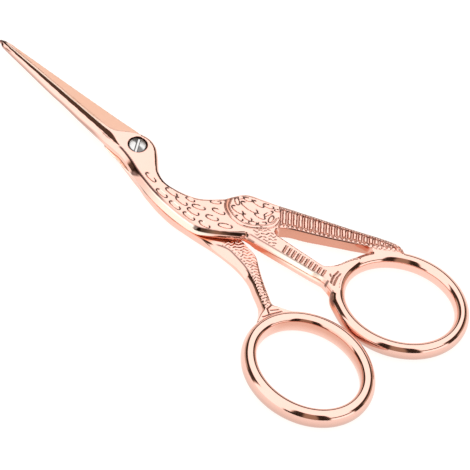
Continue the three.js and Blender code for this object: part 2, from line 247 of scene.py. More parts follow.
# Engraved feathers on neck and body: centre, turn in degrees, half length, half width
FEATHERS = [
    (7.6, -4.05, -5, 1.45, 0.48), (13, -3.55, 4, 1.45, 0.5), (11.9, -5.3, 0, 1.45, 0.5),
    (16, -3.7, 4, 1.45, 0.5), (15.8, -5.5, 0, 1.45, 0.5), (19.4, -3.8, 8, 1.4, 0.5),
    (19.6, -5.3, 4, 1.45, 0.5), (19.4, -2.1, 25, 1.4, 0.5), (23.1, -2, 22, 1.35, 0.55),
    (22.9, 0.2, 18, 1.4, 0.5), (23.2, -4.4, 8, 1.3, 0.5), (26.3, -1.45, 33, 1.45, 0.55),
    (20.9, 1.45, 38, 1.1, 0.4), (16.9, -2, 14, 1, 0.38),
]
# The feathers that the back half's outer side has too lie before this x and below this y
BACK_FEATHERS_END = (24.0, -1.9)
# Engraved leaves that fill the wing, as the feathers
WING_LEAVES = [
    (25.2, 3.45, 4, 1.45, 0.55), (27.9, 3.55, 2, 1.15, 0.48), (23.7, 4.95, -32, 0.95, 0.45),
    (26.4, 5.75, 6, 2.1, 0.62), (29.4, 5.75, 12, 1.2, 0.5), (31.5, 6.9, -72, 0.95, 0.45),
    (27.1, 7.75, 10, 1.3, 0.42), (24.9, 7, 22, 0.9, 0.42), (28.9, 8.9, 22, 1.15, 0.42),
    (29.6, 3.35, 33, 0.85, 0.38), (31, 4.75, 52, 0.9, 0.36), (30.2, 7.5, 78, 1.1, 0.36),
    (26.9, 2.2, 3, 0.9, 0.3), (23.6, 6.2, 60, 0.6, 0.32), (30.9, 9.5, 40, 0.6, 0.3),
]
WING_BORDER = [
    (22.1, 4.4), (22.4, 3.6), (23, 2.65), (24, 1.95), (25.5, 1.5), (26.8, 1.4), (28.3, 1.6), (29.5, 2.2),
    (30.5, 3), (31.7, 4.2), (32.5, 5.4), (32.9, 6.6), (32.6, 7.9),
]
WING_BORDER_HALF_WIDTH = 0.28
WING_GROOVE_OFFSET = 1.5 * WING_BORDER_HALF_WIDTH
WING_GROOVE_SHARE = 0.8

# Tail: edges of the carved field, the line below which the leg begins, and how far the tail, against
# x, and the leg reach below the mating plane
TAIL_UPPER = [(30.9, 10.8), (37, 13.95), (43, 16.85), (48, 19.4), (52, 21.3), (54.5, 21.9)]
TAIL_LOWER = [
    (34.5, 7.3), (36, 8.35), (38, 9.6), (40, 10.8), (43, 12.65), (47, 15.35), (50.2, 17.4), (54.8, 21.3),
]
UNDER_TAIL = [(33, 6), (35, 6.3), (46, 9.5), (49.5, 14), (60, 18)]
TAIL_DROP = [(34, 0.6), (36, 0.35), (38, 0.45), (40, 0.35), (42, 0.1), (44, 0)]
LEG_DROP = 0.45
# The field's least x, most x and least y, and its margin beyond the lower edge
TAIL_ZONE = (29.5, 55.5, 6.4)
TAIL_MARGIN = 0.15
# Ribs across the tail, beads along its upper edge and scallops along the lower one, each row in a
# border that a channel divides from the ribs
TAIL_RIB_TURN = math.radians(-49.0)
TAIL_RIB_START = (32.2, 9.4)
TAIL_RIB_PITCH = 1.13
TAIL_RIBS_FROM = grow(-0.65, -0.35)
TAIL_GAP = grow(0.35, 0.95)
TAIL_GAP_FROM_UPPER = grow(0.6, 0.8)
TAIL_GAP_FROM_LOWER = grow(0.7, 0.95)
TAIL_BEAD_PITCH = 0.58
TAIL_BEAD_RADIUS = 0.27
TAIL_BEAD_INSET = 0.3
TAIL_SCALLOP_PITCH = 0.95
TAIL_SCALLOP_RADIUS = 0.42
TAIL_SCALLOP_INSET = 0.4
UPPER_BORDER = 0.6
LOWER_BORDER = 0.8
CHANNEL_OFFSET = 0.02
CHANNEL_HALF_WIDTH = 0.12
CHANNEL_SHARE = 0.7

# Front leg: a row of slots along its middle line, with the first and last one's half length, and the
# hatched thigh before it: centre, half length, half width
LEG_LINE = [(38.55, 3.58), (47.95, 5.13)]
LEG_SLOTS = 10
LEG_SLOT_HALF_LENGTH = [1.15, 1.0]
LEG_SLOT_HALF_WIDTH = 0.34
LEG_SLOT_DEPTH = 0.3
LEG_SLOT_LEAN = 0.12
THIGH = (33.6, 3.1, 3.6, 1.9)
THIGH_FADE = grow(0, 0.4, 0.9)

# Wavy cuts on thigh and back leg: their turn and pitch, the sway of the rows and the breaks in them,
# with lengths in pitches, and how uneven both are
HATCH_TURN = math.radians(-38)
THIGH_HATCH_PITCH = 0.8
BACK_HATCH_PITCH = 0.72
HATCH_SWAY = 0.22
HATCH_SWAY_LENGTH = 2.1
HATCH_JITTER = (0.12, 5.1, 1.7)
HATCH_BREAK_LENGTH = 1.3
HATCH_BREAK_JITTER = (3.0, 2.3)
HATCH_LEAST = 0.35
# Where they begin and end on the back leg; the inner side's begin along a slanted line
BACK_HATCH_SLANT = 0.5
INNER_HATCH_FROM = grow(29.3, 30.3)
OUTER_HATCH_FROM = grow(27, 29)
BACK_HATCH_TO = fade(44.5, 45)

# Short engraved strokes where the legs meet their rings
FRONT_STROKES = [
    [(49.7, 7.9), (49.75, 6.6), (50.2, 5.5), (50.65, 4.6)],
    [(50.3, 7.8), (50.45, 6.7), (50.9, 5.7), (51.35, 4.75)], [(49.15, 6), (49.55, 5.7)],
]
BACK_STROKES = [
    [(45.25, -7.2), (45.3, -8.6), (46.35, -9.2)], [(47.7, -6.9), (46.7, -9), (46.1, -10.7)],
    [(47, -7), (46.1, -8.3)],
]

# Zones of carving as least x, most x and most y
LEG_ZONE = (36.5, 50.0, 7.0)
FRONT_JOINT_ZONE = (48.0, 52.5, 9.5)
BACK_JOINT_ZONE = (44.0, 49.0, -6.0)

# Widths and depths of the carving. A stroke is flat to STROKE_CORE of its half width and ends at
# STROKE_REACH of it.
STROKE_CORE = 0.25
STROKE_REACH = 1.6
GROOVE_HALF_WIDTH = 0.13
GROOVE_DEPTH = 0.2
PAD_HEIGHT = 0.07
SCOOP_DEPTH = 0.2
SCOOP_WALL = 0.32
SCOOP_MARGIN = 0.6
RIB_DEPTH = 0.34
BEAD_HEIGHT = 0.22
HATCH_DEPTH = 0.12

# Meshing
FRONT_BOX = ((-39.0, -8.0, -2.75), (79.5, 26.5, 2.95))
BACK_BOX = ((-39.0, -28.0, -2.95), (78.0, 5.0, 2.75))
SCREW_BOX = ((-2.2, -2.2, -2.8), (2.2, 2.2, 2.8))
CELL = 0.16
SCREW_CELL = 0.07
FINE_LEVEL = 0.08
FINE_LEVELS = 6
NEAR_CELLS = 4
OUTLINE_CELL = 0.25
OUTLINE_STEP = 0.3
GRID_MARGIN = 3
MOST_TRIANGLES = 195000
SLOPE_STEP = 0.02
# Where triangles may be merged: flat inner faces, and a ring from this far before its centre on
FLAT_TOLERANCE = 0.01
FREE_RING = 4.0

# Satin faces: how level they are, where they end along x, and the heel's ledge, which is polished
LEVEL_FACE = 0.97
INNER_SATIN = fade(24, 30)
STRIP_SATIN = fade(-12, -6)
LEDGE_LEAST_X = -7.0
LEDGE_MOST_Y = -3.3

# Painted shade lines of the carving: the ends of feathers and leaves, one side of each gap between the tail's
# ribs, the tail's beads, the least height where they show, and how far a slot's painted shadow is shifted
SCOOP_LINE_HALF_WIDTH = 0.14
SCOOP_LINE_ALONG = grow(0.5, 0.85)
GAP_LINE_HALF_WIDTH = 0.075
GAP_LINE_PHASE = 0.14
GAP_LINE_SHARE = 0.8
BEAD_SHADE = fade(52, 53.5, 0.6)
CARVED_LEAST_Z = 1.2
SLOT_SHADOW = 0.2
# The slant of the painted shade at the throat, and the x where its height is measured
THROAT_SLANT = 0.6
THROAT_X = 4.0
# The lower limit of the painted warm shade on the back half's belly
BELLY_SHADE = [(24, -5.6), (25, -5.3), (26, -4.7), (26.5, -4), (27, -3.4), (28, -2.7), (30, -1)]

# Finishes: colours, roughness from least to most, and fine texture with scales in cycles to the metre
# and its depth in metres
POLISHED = (0.89, 0.56, 0.472, 1.0)
# Painted light: a lighter colour for flanks, the heel's ledge and a highlight line along the blade's hollow
PAINTED_LIGHT_COLOUR = (1.0, 0.86, 0.74, 1.0)
SATIN = (0.75, 0.455, 0.335, 1.0)
# Painted shade in the carving's hollows
GROOVE_SHADE_COLOUR = (0.75, 0.36, 0.27, 1.0)
# Painted warm shade: walls that reflect the shaded table and the other half's gold, and the wing's border
WARM_SHADE_COLOUR = (0.68, 0.32, 0.23, 1.0)
# Painted red reflection: the two halves' gold reflected in each other along the seam, belly, leg and ring
# joint
RED_REFLECTION_COLOUR = (0.86, 0.255, 0.118, 1.0)
# Painted shade: dark lines and patches for shadows along edges, seams and carving, and for dark reflections
LINE_SHADE_COLOUR = (0.075, 0.032, 0.026, 1.0)
STEEL = (0.68, 0.67, 0.66, 1.0)
# Painted shade on the screw head: its rim, beside its slot and between painted glints
STEEL_SHADE = (0.04, 0.035, 0.035, 1.0)
# The layers over the polished plating, each above those before it: the satin finish, then painted light,
# painted shade in the carving, painted warm shade, painted red reflection and painted shade lines
LAYERS = [
    ("satin", SATIN), ("pale", PAINTED_LIGHT_COLOUR), ("groove", GROOVE_SHADE_COLOUR), ("warm", WARM_SHADE_COLOUR), ("deep", RED_REFLECTION_COLOUR),
    ("line", LINE_SHADE_COLOUR),
]
POLISHED_ROUGHNESS = (0.06, 0.11)
SATIN_ROUGHNESS = (0.28, 0.42)
TURNED_ROUGHNESS = (0.16, 0.3)
CLOUD_SCALE = 160.0
CLOUD_DETAIL = 3.0
CLOUD_SATURATION = (0.94, 1.06)
BRUSH_SCALE = 9000.0
BRUSH_DETAIL = 2.0
BRUSH_STRETCH = (1.0, 0.03, 1.0)
PEEL_SCALE = 900.0
PEEL_DETAIL = 1.0
TURNING_SCALE = 2500.0
TURNING_WOBBLE = 1.5
BUMP_DISTANCE = 0.00002
PLATING_BUMP = 0.12
TURNING_BUMP = 0.15

# Camera, floor and lamp, in metres, with the lens and the sensor in millimetres
LOOK_AT = Vector((0.028245, -0.000103, 0.00255))
CAMERA_PLACE = Vector((0.56030, -0.81939, 1.32322))
CAMERA_ROLL = math.radians(12.5)
CAMERA_LENS = 612.8
CAMERA_SENSOR = 36.0
CAMERA_REACH = 10.0
FLOOR_HALF = 1.5
FLOOR_COLOUR = (0.2, 0.2, 0.2, 1.0)
FLOOR_ROUGHNESS = 0.9
FLOOR_GLOW = (1.0, 0.98, 0.95, 1.0)
FLOOR_GLOW_STRENGTH = 0.92
LAMP_SIZE = 1.6
LAMP_POWER = 4.0
LAMP_PLACE = (0.0, 0.0, 1.4)

# Studio round the scissors, in degrees: brightness against the turn round the horizon as (turn, level)
# stops, in a low, a middle and a high band, and the height where the high one begins
GAP_END = [(-64, 0.02), (-60, 0.22), (-44, 0.22), (-40, 0.02), (-25, 0.02), (-21, 1)]
GAP = [(-80, 1), (-76, 0.02)] + GAP_END
LOW_GAP = [(-89, 1), (-85, 0.02)] + GAP_END
LOW_BAND = [
    (-180, 0.4), (-155, 0.4), (-148, 0.05), (-134.3, 0.05), (-129.5, 1), *LOW_GAP, (16, 1),
    (20, 0.03), (36, 0.03), (42, 0.3), (84, 0.3), (96, 0.7), (150, 0.7), (180, 0.4),
]
MIDDLE_BAND = [
    (-180, 0.03), (-134.3, 0.03), (-129.5, 1), *GAP, (16, 1), (20, 0.03), (84, 0.03),
    (100, 0.05), (150, 0.05), (180, 0.03),
]
HIGH_BAND = [(-180, 1), *GAP, (180, 1)]
HIGH_FROM = [
    (-180, 45), (-135, 45), (-120, 40), (80, 44), (90, 41), (116, 41), (132, 35),
    (148, 35), (160, 45), (180, 45),
]
# The dark edge of a panel, its level, and the heights from which each band or edge takes over
PANEL_EDGE = [(-180, 0), (-30, 0), (-26, 0.9), (18, 0.9), (22, 0), (180, 0)]
PANEL_EDGE_LEVEL = 0.05
PANEL_EDGE_FROM = (17, 19)
PANEL_EDGE_TO = (29, 31)
MIDDLE_FROM = (14, 19)
HIGH_SOFTNESS = (-3, 3)
TOP_FROM = (60, 68)
# Dim parts of the studio are warm: the brightness that turns to this colour, and the light's strength
DIM = 0.25
DIM_COLOUR = (0.3, 0.21, 0.15, 1.0)
STUDIO_STRENGTH = 1.47


def smoothstep(value, low, high):
    share = np.clip((value - low) / (high - low), 0.0, 1.0)
    return share * share * (3.0 - 2.0 * share)


def profile(value, stops):
    """The level that goes smoothly from stop to stop, or at once where two stops share a place"""
    level = stops[0][1]
    for (place, before), (following, after) in zip(stops[:-1], stops[1:]):
        if place < following:
            risen = smoothstep(value, place, following)
        else:
            risen = value > place
        level = level + (after - before) * risen
    return level


def blend(first, second, share):
    return first + (second - first) * share


def smooth_min(a, b, width):
    share = np.clip(0.5 + 0.5 * (b - a) / width, 0.0, 1.0)
    return b + (a - b) * share - width * share * (1.0 - share)


def smooth_max(a, b, width):
    return -smooth_min(-a, -b, width)


def turned(x, y, turn):
    """The places along two axes that are turned by an angle"""
    u = x * math.cos(turn) + y * math.sin(turn)
    v = y * math.cos(turn) - x * math.sin(turn)
    return u, v


def in_zone(x, y, zone):
    least_x, most_x, most_y = zone
    return (x > least_x) & (x < most_x) & (y < most_y)


def spline(points, closed=False):
    """A smooth line through the points, in steps of about OUTLINE_STEP"""
    points = np.asarray(points, float)
    count = len(points)
    spans = count if closed else count - 1
    line = []
    for i in range(spans):
        if closed:
            p0, p1, p2, p3 = (points[(i + k) % count] for k in (-1, 0, 1, 2))
        else:
            p0, p1, p2, p3 = (points[min(max(i + k, 0), count - 1)] for k in (-1, 0, 1, 2))
        steps = max(2, int(np.linalg.norm(p2 - p1) / OUTLINE_STEP))
        for t in np.arange(steps) / steps:
            line.append(p1 + 0.5 * t * (p2 - p0 + t * (2 * p0 - 5 * p1 + 4 * p2 - p3
                                                       + t * (3 * (p1 - p2) + p3 - p0))))
    if not closed:
        line.append(points[-1])
    return np.array(line)


def along_line(x, line, column=1):
    return np.interp(x, line[:, 0], line[:, column])


def line_distance(x, y, line):
    """Distance from each point to a line of straight steps, and the length along it to there"""
    best = np.full(x.shape, np.inf)
    length_there = np.zeros(x.shape)
    start = 0.0
    for (ax, ay), (bx, by) in zip(line[:-1], line[1:]):
        dx, dy = bx - ax, by - ay
        size = math.hypot(dx, dy)
        share = np.clip(((x - ax) * dx + (y - ay) * dy) / (size * size), 0.0, 1.0)
        gap = (x - ax - share * dx) ** 2 + (y - ay - share * dy) ** 2
        nearer = gap < best
        best = np.where(nearer, gap, best)
        length_there = np.where(nearer, start + share * size, length_there)
        start += size
    return np.sqrt(best), length_there


def outline_distance(x, y, loop):
    """Distance to a closed loop, below zero inside it"""
    closed = np.vstack([loop, loop[:1]])
    distance, _ = line_distance(x, y, closed)
    inside = np.zeros(x.shape, bool)
    for (ax, ay), (bx, by) in zip(closed[:-1], closed[1:]):
        if ay != by:
            crosses = (ay > y) != (by > y)
            inside ^= crosses & (x < ax + (y - ay) * (bx - ax) / (by - ay))
    return np.where(inside, -distance, distance)


class PlanGrid:
    """The distance from an outline, held on a grid and read between its points with cubic weights"""

    def __init__(self, loop, box):
        (x0, y0, _), (x1, y1, _) = box
        margin = GRID_MARGIN * OUTLINE_CELL
        self.x0, self.y0 = x0 - margin, y0 - margin
        xs = np.arange(self.x0, x1 + margin + OUTLINE_CELL, OUTLINE_CELL)
        ys = np.arange(self.y0, y1 + margin + OUTLINE_CELL, OUTLINE_CELL)
        gx, gy = np.meshgrid(xs, ys, indexing="ij")
        self.values = outline_distance(gx.ravel(), gy.ravel(), loop).reshape(gx.shape)

    @staticmethod
    def weights(t):
        return (
            0.5 * t * (-1 + t * (2 - t)), 1 + 0.5 * t * t * (3 * t - 5),
            0.5 * t * (1 + t * (4 - 3 * t)), 0.5 * t * t * (t - 1),
        )

    def read(self, x, y):
        u_end, v_end = np.array(self.values.shape) - GRID_MARGIN - TINY
        u = np.clip((x - self.x0) / OUTLINE_CELL, 1, u_end)
        v = np.clip((y - self.y0) / OUTLINE_CELL, 1, v_end)
        i, j = u.astype(int), v.astype(int)
        total = np.zeros(x.shape)
        for a, wa in enumerate(self.weights(u - i)):
            for b, wb in enumerate(self.weights(v - j)):
                total += wa * wb * self.values[i + a - 1, j + b - 1]
        return total


def stroke(distance, half_width):
    """1 along the middle of a stroke, falling smoothly to 0 at its sides"""
    return 1.0 - smoothstep(distance, STROKE_CORE * half_width, STROKE_REACH * half_width)


def oval_distance(x, y, oval):
    """Close to the distance from the outline of a long oval, below zero inside it"""
    cx, cy, turn, half_length, half_width = oval
    u, v = turned(x - cx, y - cy, math.radians(turn))
    size = np.hypot(u / half_length, v / half_width)
    steep = np.hypot(u / half_length ** 2, v / half_width ** 2) + TINY
    return (size - 1.0) * size / steep


def beside_scoop(x, y, scoop):
    reach = scoop[3] + SCOOP_MARGIN
    return (np.abs(x - scoop[0]) < reach) & (np.abs(y - scoop[1]) < reach)


def scoops_relief(x, y, scoops):
    """Each scoop is a long shallow hollow with sloping ends and sides"""
    depth = np.zeros(x.shape)
    for scoop in scoops:
        near = beside_scoop(x, y, scoop)
        distance = oval_distance(x[near], y[near], scoop)
        hollow = SCOOP_DEPTH * smoothstep(-distance, -0.5 * SCOOP_WALL, 0.5 * SCOOP_WALL)
        depth[near] = np.maximum(depth[near], hollow)
    return -depth


def strokes_relief(x, y, strokes):
    height = np.zeros(x.shape)
    for line in strokes:
        distance, _ = line_distance(x, y, np.asarray(line))
        height -= GROOVE_DEPTH * stroke(distance, GROOVE_HALF_WIDTH)
    return height


def bead(distance, along, pitch, radius):
    """1 in the middle of each bead of a row, and 0 from its outline on"""
    beside = (np.mod(along / pitch, 1.0) - 0.5) * pitch
    return np.sqrt(np.maximum(0.0, 1.0 - (beside ** 2 + distance ** 2) / radius ** 2))


def tail_across(x, y):
    """Distance across the tail's ribs, from the first one on"""
    return turned(x - TAIL_RIB_START[0], y - TAIL_RIB_START[1], TAIL_RIB_TURN)[1]


def on_tail(x, y):
    least_x, most_x, least_y = TAIL_ZONE
    over_edge = (x < TAIL_LOWER[0][0]) | (y > along_line(x, TAIL_LOWER_LINE) - TAIL_MARGIN)
    return (x > least_x) & (x < most_x) & (y > least_y) & over_edge


def tail_relief(x, y):
    """Slanted ribs between a row of beads along the upper edge and scallops along the lower one"""
    upper, upper_along = line_distance(x, y, TAIL_UPPER_LINE)
    lower, lower_along = line_distance(x, y, TAIL_LOWER_LINE)
    across = tail_across(x, y)
    wave = 0.5 + 0.5 * np.cos(2 * math.pi * across / TAIL_RIB_PITCH)
    gap = profile(wave, TAIL_GAP) * profile(upper, TAIL_GAP_FROM_UPPER) * profile(lower, TAIL_GAP_FROM_LOWER)
    channel = stroke(np.abs(upper - UPPER_BORDER - CHANNEL_OFFSET), CHANNEL_HALF_WIDTH)
    channel += stroke(np.abs(lower - LOWER_BORDER - CHANNEL_OFFSET), CHANNEL_HALF_WIDTH)
    beads = bead(upper - TAIL_BEAD_INSET, upper_along, TAIL_BEAD_PITCH, TAIL_BEAD_RADIUS)
    scallops = bead(lower - TAIL_SCALLOP_INSET, lower_along, TAIL_SCALLOP_PITCH, TAIL_SCALLOP_RADIUS)
    border = (upper < UPPER_BORDER) | (lower < LOWER_BORDER)
    cut = RIB_DEPTH * np.maximum(gap, CHANNEL_SHARE * channel)
    cut += border * BEAD_HEIGHT * (1.0 - np.maximum(beads, scallops))
    return -profile(across, TAIL_RIBS_FROM) * cut


def leg_relief(x, y):
    """A row of sharp slots that lean a little"""
    (ax, ay), (bx, by) = LEG_LINE
    length = math.hypot(bx - ax, by - ay)
    ux, uy = (bx - ax) / length, (by - ay) / length
    along = (x - ax) * ux + (y - ay) * uy
    across = (y - ay) * ux - (x - ax) * uy
    pitch = length / (LEG_SLOTS - 1)
    leaning = along + LEG_SLOT_LEAN * across
    nearest = np.clip(np.round(leaning / pitch), 0, LEG_SLOTS - 1)
    reach = np.interp(along, [0, length], LEG_SLOT_HALF_LENGTH)
    beyond = np.maximum(np.abs(across) - (reach - LEG_SLOT_HALF_WIDTH), 0.0)
    distance = np.hypot(leaning - nearest * pitch, beyond)
    return -LEG_SLOT_DEPTH * np.maximum(0.0, 1.0 - distance / LEG_SLOT_HALF_WIDTH)


def hatch_relief(x, y, pitch):
    """Rows of short wavy cuts"""
    u, v = turned(x, y, HATCH_TURN)
    jitter, jitter_v, jitter_u = HATCH_JITTER
    wave = u / pitch + HATCH_SWAY * np.sin(2 * math.pi * v / (HATCH_SWAY_LENGTH * pitch))
    wave += jitter * np.sin(jitter_v * v + jitter_u * u)
    rows = 0.5 + 0.5 * np.cos(2 * math.pi * wave)
    shift, shift_u = HATCH_BREAK_JITTER
    breaks = 0.5 + 0.5 * np.sin(2 * math.pi * v / (HATCH_BREAK_LENGTH * pitch) + shift * np.sin(shift_u * u))
    return -HATCH_DEPTH * rows * blend(HATCH_LEAST, 1.0, breaks)


def thigh_relief(x, y):
    cx, cy, half_length, half_width = THIGH
    within = 1.0 - ((x - cx) / half_length) ** 2 - ((y - cy) / half_width) ** 2
    return profile(within, THIGH_FADE) * hatch_relief(x, y, THIGH_HATCH_PITCH)


def wing_border_relief(x, y):
    distance, _ = line_distance(x, y, WING_BORDER_LINE)
    rim = stroke(distance, WING_BORDER_HALF_WIDTH)
    beside = stroke(np.abs(distance - WING_GROOVE_OFFSET), GROOVE_HALF_WIDTH)
    return PAD_HEIGHT * rim - WING_GROOVE_SHARE * GROOVE_DEPTH * beside


def front_relief(x, y, inside):
    """Height of the carving above the front half's top face; inside is the distance from its edge"""
    height = scoops_relief(x, y, FEATHERS + WING_LEAVES)
    height += wing_border_relief(x, y)
    tail = on_tail(x, y)
    height[tail] += tail_relief(x[tail], y[tail])
    leg = in_zone(x, y, LEG_ZONE)
    height[leg] += leg_relief(x[leg], y[leg])
    height += thigh_relief(x, y)
    joint = in_zone(x, y, FRONT_JOINT_ZONE)
    height[joint] += strokes_relief(x[joint], y[joint], FRONT_STROKES)
    buffed_width = BUFFED_WIDTH * profile(x, BUFFED_ALONG)
    buffed = BUFFED_DROP * np.clip(1.0 - inside / buffed_width, 0.0, MOST_BUFFED)
    return height * profile(inside, FRONT_CARVED) - buffed


def back_inner_relief(x, y, inside):
    """The carving on the back leg's inner side, all of it cut below the face"""
    rows = profile(x - BACK_HATCH_SLANT * y, INNER_HATCH_FROM) * profile(x, BACK_HATCH_TO)
    height = rows * hatch_relief(x, y, BACK_HATCH_PITCH)
    joint = in_zone(x, y, BACK_JOINT_ZONE)
    height[joint] += strokes_relief(x[joint], y[joint], BACK_STROKES)
    return height * profile(inside, BACK_CARVED)


def back_outer_relief(x, y, inside):
    """The back half's outer side has the neck's feathers and the leg's wavy rows"""
    end_x, most_y = BACK_FEATHERS_END
    feathers = [feather for feather in FEATHERS if feather[0] < end_x and feather[1] < most_y]
    height = scoops_relief(x, y, feathers)
    rows = profile(x, OUTER_HATCH_FROM) * profile(x, BACK_HATCH_TO)
    height += rows * hatch_relief(x, y, BACK_HATCH_PITCH)
    return height * profile(inside, OUTER_CARVED)


def off_ring_spine(x, y, ring):
    """Close to the distance from the middle line of a ring's band, below zero inside the ring"""
    return oval_distance(x, y, (*ring[:3], RING_LONG, RING_SHORT))


def ring_field(off_spine, z, ring):
    """Close to the distance from a ring with an upright oval section"""
    half_width, half_height, square = ring[3:]
    power = np.where(off_spine < 0.0, square, 2.0)
    u, v = np.abs(off_spine) / half_width, np.abs(z) / half_height
    size = (u ** power + v ** power) ** (1.0 / power) + TINY
    steep = np.hypot((u / size) ** (power - 1.0) / half_width, (v / size) ** (power - 1.0) / half_height)
    return (size - 1.0) / steep


def blade_top(x, y):
    """Height of a blade's outer side: a flat strip along the edge, and a hollow facet up to the ridge"""
    strip = along_line(x, STRIP_HEIGHT_LINE)
    hollow = along_line(x, HOLLOW_LINE)
    ridge_y, ridge_z = along_line(x, RIDGE_LINE), along_line(x, RIDGE_LINE, 2)
    facet = strip + (ridge_z - strip) * (hollow - y) / np.maximum(hollow - ridge_y, LEAST_FACET)
    return smooth_max(strip, facet, FINE_ROUND)


def blade_sides(x, y, spine_line, edge_line):
    """The slopes beside a blade's top: the spine's chamfer and the edge's bevel"""
    middle = 0.5 * (along_line(x, spine_line) + along_line(x, edge_line))
    spine_side = smoothstep(middle - y, -SIDE_BLEND, SIDE_BLEND)
    bulge = np.interp(x, *zip(*SPINE_BULGE))
    ridge_z = along_line(x, RIDGE_LINE, 2)
    chamfer = along_line(x, RIDGE_LINE) - along_line(x, spine_line) + bulge
    bevel = along_line(x, edge_line) - along_line(x, STRIP_EDGE_LINE)
    wall = ridge_z * np.interp(x, *zip(*SPINE_WALL_SHARE))
    return {
        "width": np.maximum(blend(bevel, chamfer, spine_side), LEAST_FACET),
        "low": blend(EDGE_THICKNESS, wall, spine_side),
        "high": blend(along_line(x, STRIP_HEIGHT_LINE), ridge_z, spine_side),
        "draw_in": bulge * spine_side,
    }


def edge_inset(height, plan):
    """How far a half's side draws in: a flat chamfer, or a round where the plan's round is 1"""
    share = (height - plan["low"]) / (plan["high"] - plan["low"])
    flat = smooth_max(np.zeros_like(share), share, CHAMFER_BLEND)
    turn = np.clip(ROUND_SHARE * share, 0.0, MOST_ROUND)
    rounded = (1.0 - np.sqrt(1.0 - turn ** 2)) / (1.0 - math.sqrt(1.0 - ROUND_SHARE ** 2))
    return plan["chamfer"] * blend(flat, rounded, plan["round"])


def seam_inset(height, width, reach):
    """How far a half's side draws in towards its inner face"""
    share = np.clip(1.0 - (height - INNER) / reach, 0.0, 1.0)
    return width * share ** SEAM_POWER


def front_ring_spine(x, y):
    """Distance from the middle line of the front ring's band, which the shoulder below the leg makes less"""
    cx, cy, reach, height = RING_SHOULDER
    from_shoulder = np.hypot(x - cx, y - cy) / reach
    return off_ring_spine(x, y, FRONT_RING) - height * np.exp(-from_shoulder ** 2)


def front_plan(x, y):
    """What the front half's field needs at each x and y"""
    inside = -FRONT_TOP_GRID.read(x, y)
    blade = blade_sides(x, y, SPINE_LINE, CUTTING_EDGE_LINE)
    head = profile(x, HEADS)
    under_tail = profile(x, FORK) * profile(y - along_line(x, UNDER_TAIL_LINE), ABOVE_FORK)
    throat = profile(x, THROAT) * profile(-y, THROAT_BELOW)
    belly = profile(x, BELLY) * (y < BELLY_MOST_Y)
    chamfer = (CHAMFER_WIDTH + THROAT_CHAMFER * throat) * (1.0 - TAIL_WALL_SHARE * under_tail)
    chamfer = blend(blade["width"], chamfer, head)
    round_side = head * profile(x, ROUND_SIDES) * (1.0 - throat) * (1.0 - belly)
    low = OUTER - CHAMFER_HEIGHT - ROUND_EXTRA * round_side + (CHAMFER_HEIGHT - BELLY_CHAMFER) * belly
    relief = front_relief(x, y, inside)
    side = -inside - chamfer
    off_spine = front_ring_spine(x, y)
    at_ring = profile(x, LOWERED_TO_RING) * profile(np.abs(off_spine), RING_SLOPE)
    top = OUTER - (OUTER - FRONT_RING[4]) * at_ring
    tail_drop = along_line(x, TAIL_DROP_LINE)
    return {
        "x": x, "y": y, "side": side, "off_spine": off_spine, "relief": relief, "inside": inside,
        "reach": np.minimum(side, np.abs(off_spine) - FRONT_RING[3]),
        "top": np.where(x > HEAD_X, top + relief, blade_top(x, y)),
        "inner": INNER - LEG_DROP * profile(x, LOWERED_LEG) - tail_drop * under_tail,
        "chamfer": chamfer, "round": round_side,
        "low": blend(blade["low"], low, head),
        "high": np.where(x > HEAD_X, OUTER, blade["high"]),
        "seam": blend(blade["draw_in"], FRONT_SEAM * profile(x, SEAM_ENDS), head),
    }


def front_field(plan, z):
    """Close to the distance from the front half's surface, below zero inside it"""
    side = plan["side"] + edge_inset(z, plan)
    side = side + seam_inset(z, plan["seam"], np.minimum(SEAM_REACH, plan["low"]))
    plate = smooth_max(side, z - plan["top"], TOP_ROUND)
    plate = smooth_max(plate, plan["inner"] - z, FINE_ROUND)
    solid = smooth_min(plate, ring_field(plan["off_spine"], z, FRONT_RING), RING_FILLET)
    from_axis = np.hypot(plan["x"], plan["y"])
    seat_radius = SEAT_RADIUS + np.maximum(0.0, z - OUTER + SEAT_CHAMFER)
    seat = np.maximum(from_axis - seat_radius, SCREW_SEAT - SEAT_CLEARANCE - z)
    bore = np.minimum(seat, from_axis - BORE_RADIUS)
    return smooth_max(solid, -bore, FINE_ROUND)


def back_plan(x, y):
    """What the back half's field needs at each x and y"""
    inside = -BACK_INNER_GRID.read(x, y)
    mirrored = 2 * BLADE_LINE_Y - y
    blade = blade_sides(x, mirrored, BACK_SPINE_LINE, BACK_CUTTING_EDGE_LINE)
    head = profile(x, HEADS)
    wide = BACK_WIDE_GRID.read(x, y)
    blade_side = BACK_BLADE_GRID.read(x, y) - blade["draw_in"] * (1.0 - head)
    outer_relief = back_outer_relief(x, y, -wide - BACK_EDGE_WIDTH)
    relief = back_inner_relief(x, y, inside)
    off_spine = off_ring_spine(x, y, BACK_RING)
    roll = BACK_ROLL * profile(x, BACK_LEG)
    roll += HEEL_ROLL * profile(x, HEEL) * (y < HEEL_MOST_Y)
    roll += BELLY_ROLL * profile(x, BACK_BELLY) * (y < BACK_BELLY_MOST_Y)
    return {
        "x": x, "y": y, "inner_side": -inside, "wide_side": wide, "blade_side": blade_side,
        "off_spine": off_spine, "relief": relief, "outer_relief": outer_relief, "inside": inside,
        "reach": np.minimum(np.minimum(wide, blade_side), np.abs(off_spine) - BACK_RING[3]),
        "inner": INNER - relief,
        "outer": np.where(x > HEAD_X, OUTER + outer_relief, blade_top(x, mirrored)),
        "chamfer": blend(blade["width"], BACK_EDGE_WIDTH, head), "round": BACK_ROUND * head,
        "low": blend(blade["low"], BACK_EDGE_LOW, head),
        "high": np.where(x > HEAD_X, OUTER, blade["high"]),
        "power": profile(x, BACK_CURVE), "roll": FINE_ROUND + roll, "seam": blade["draw_in"],
    }


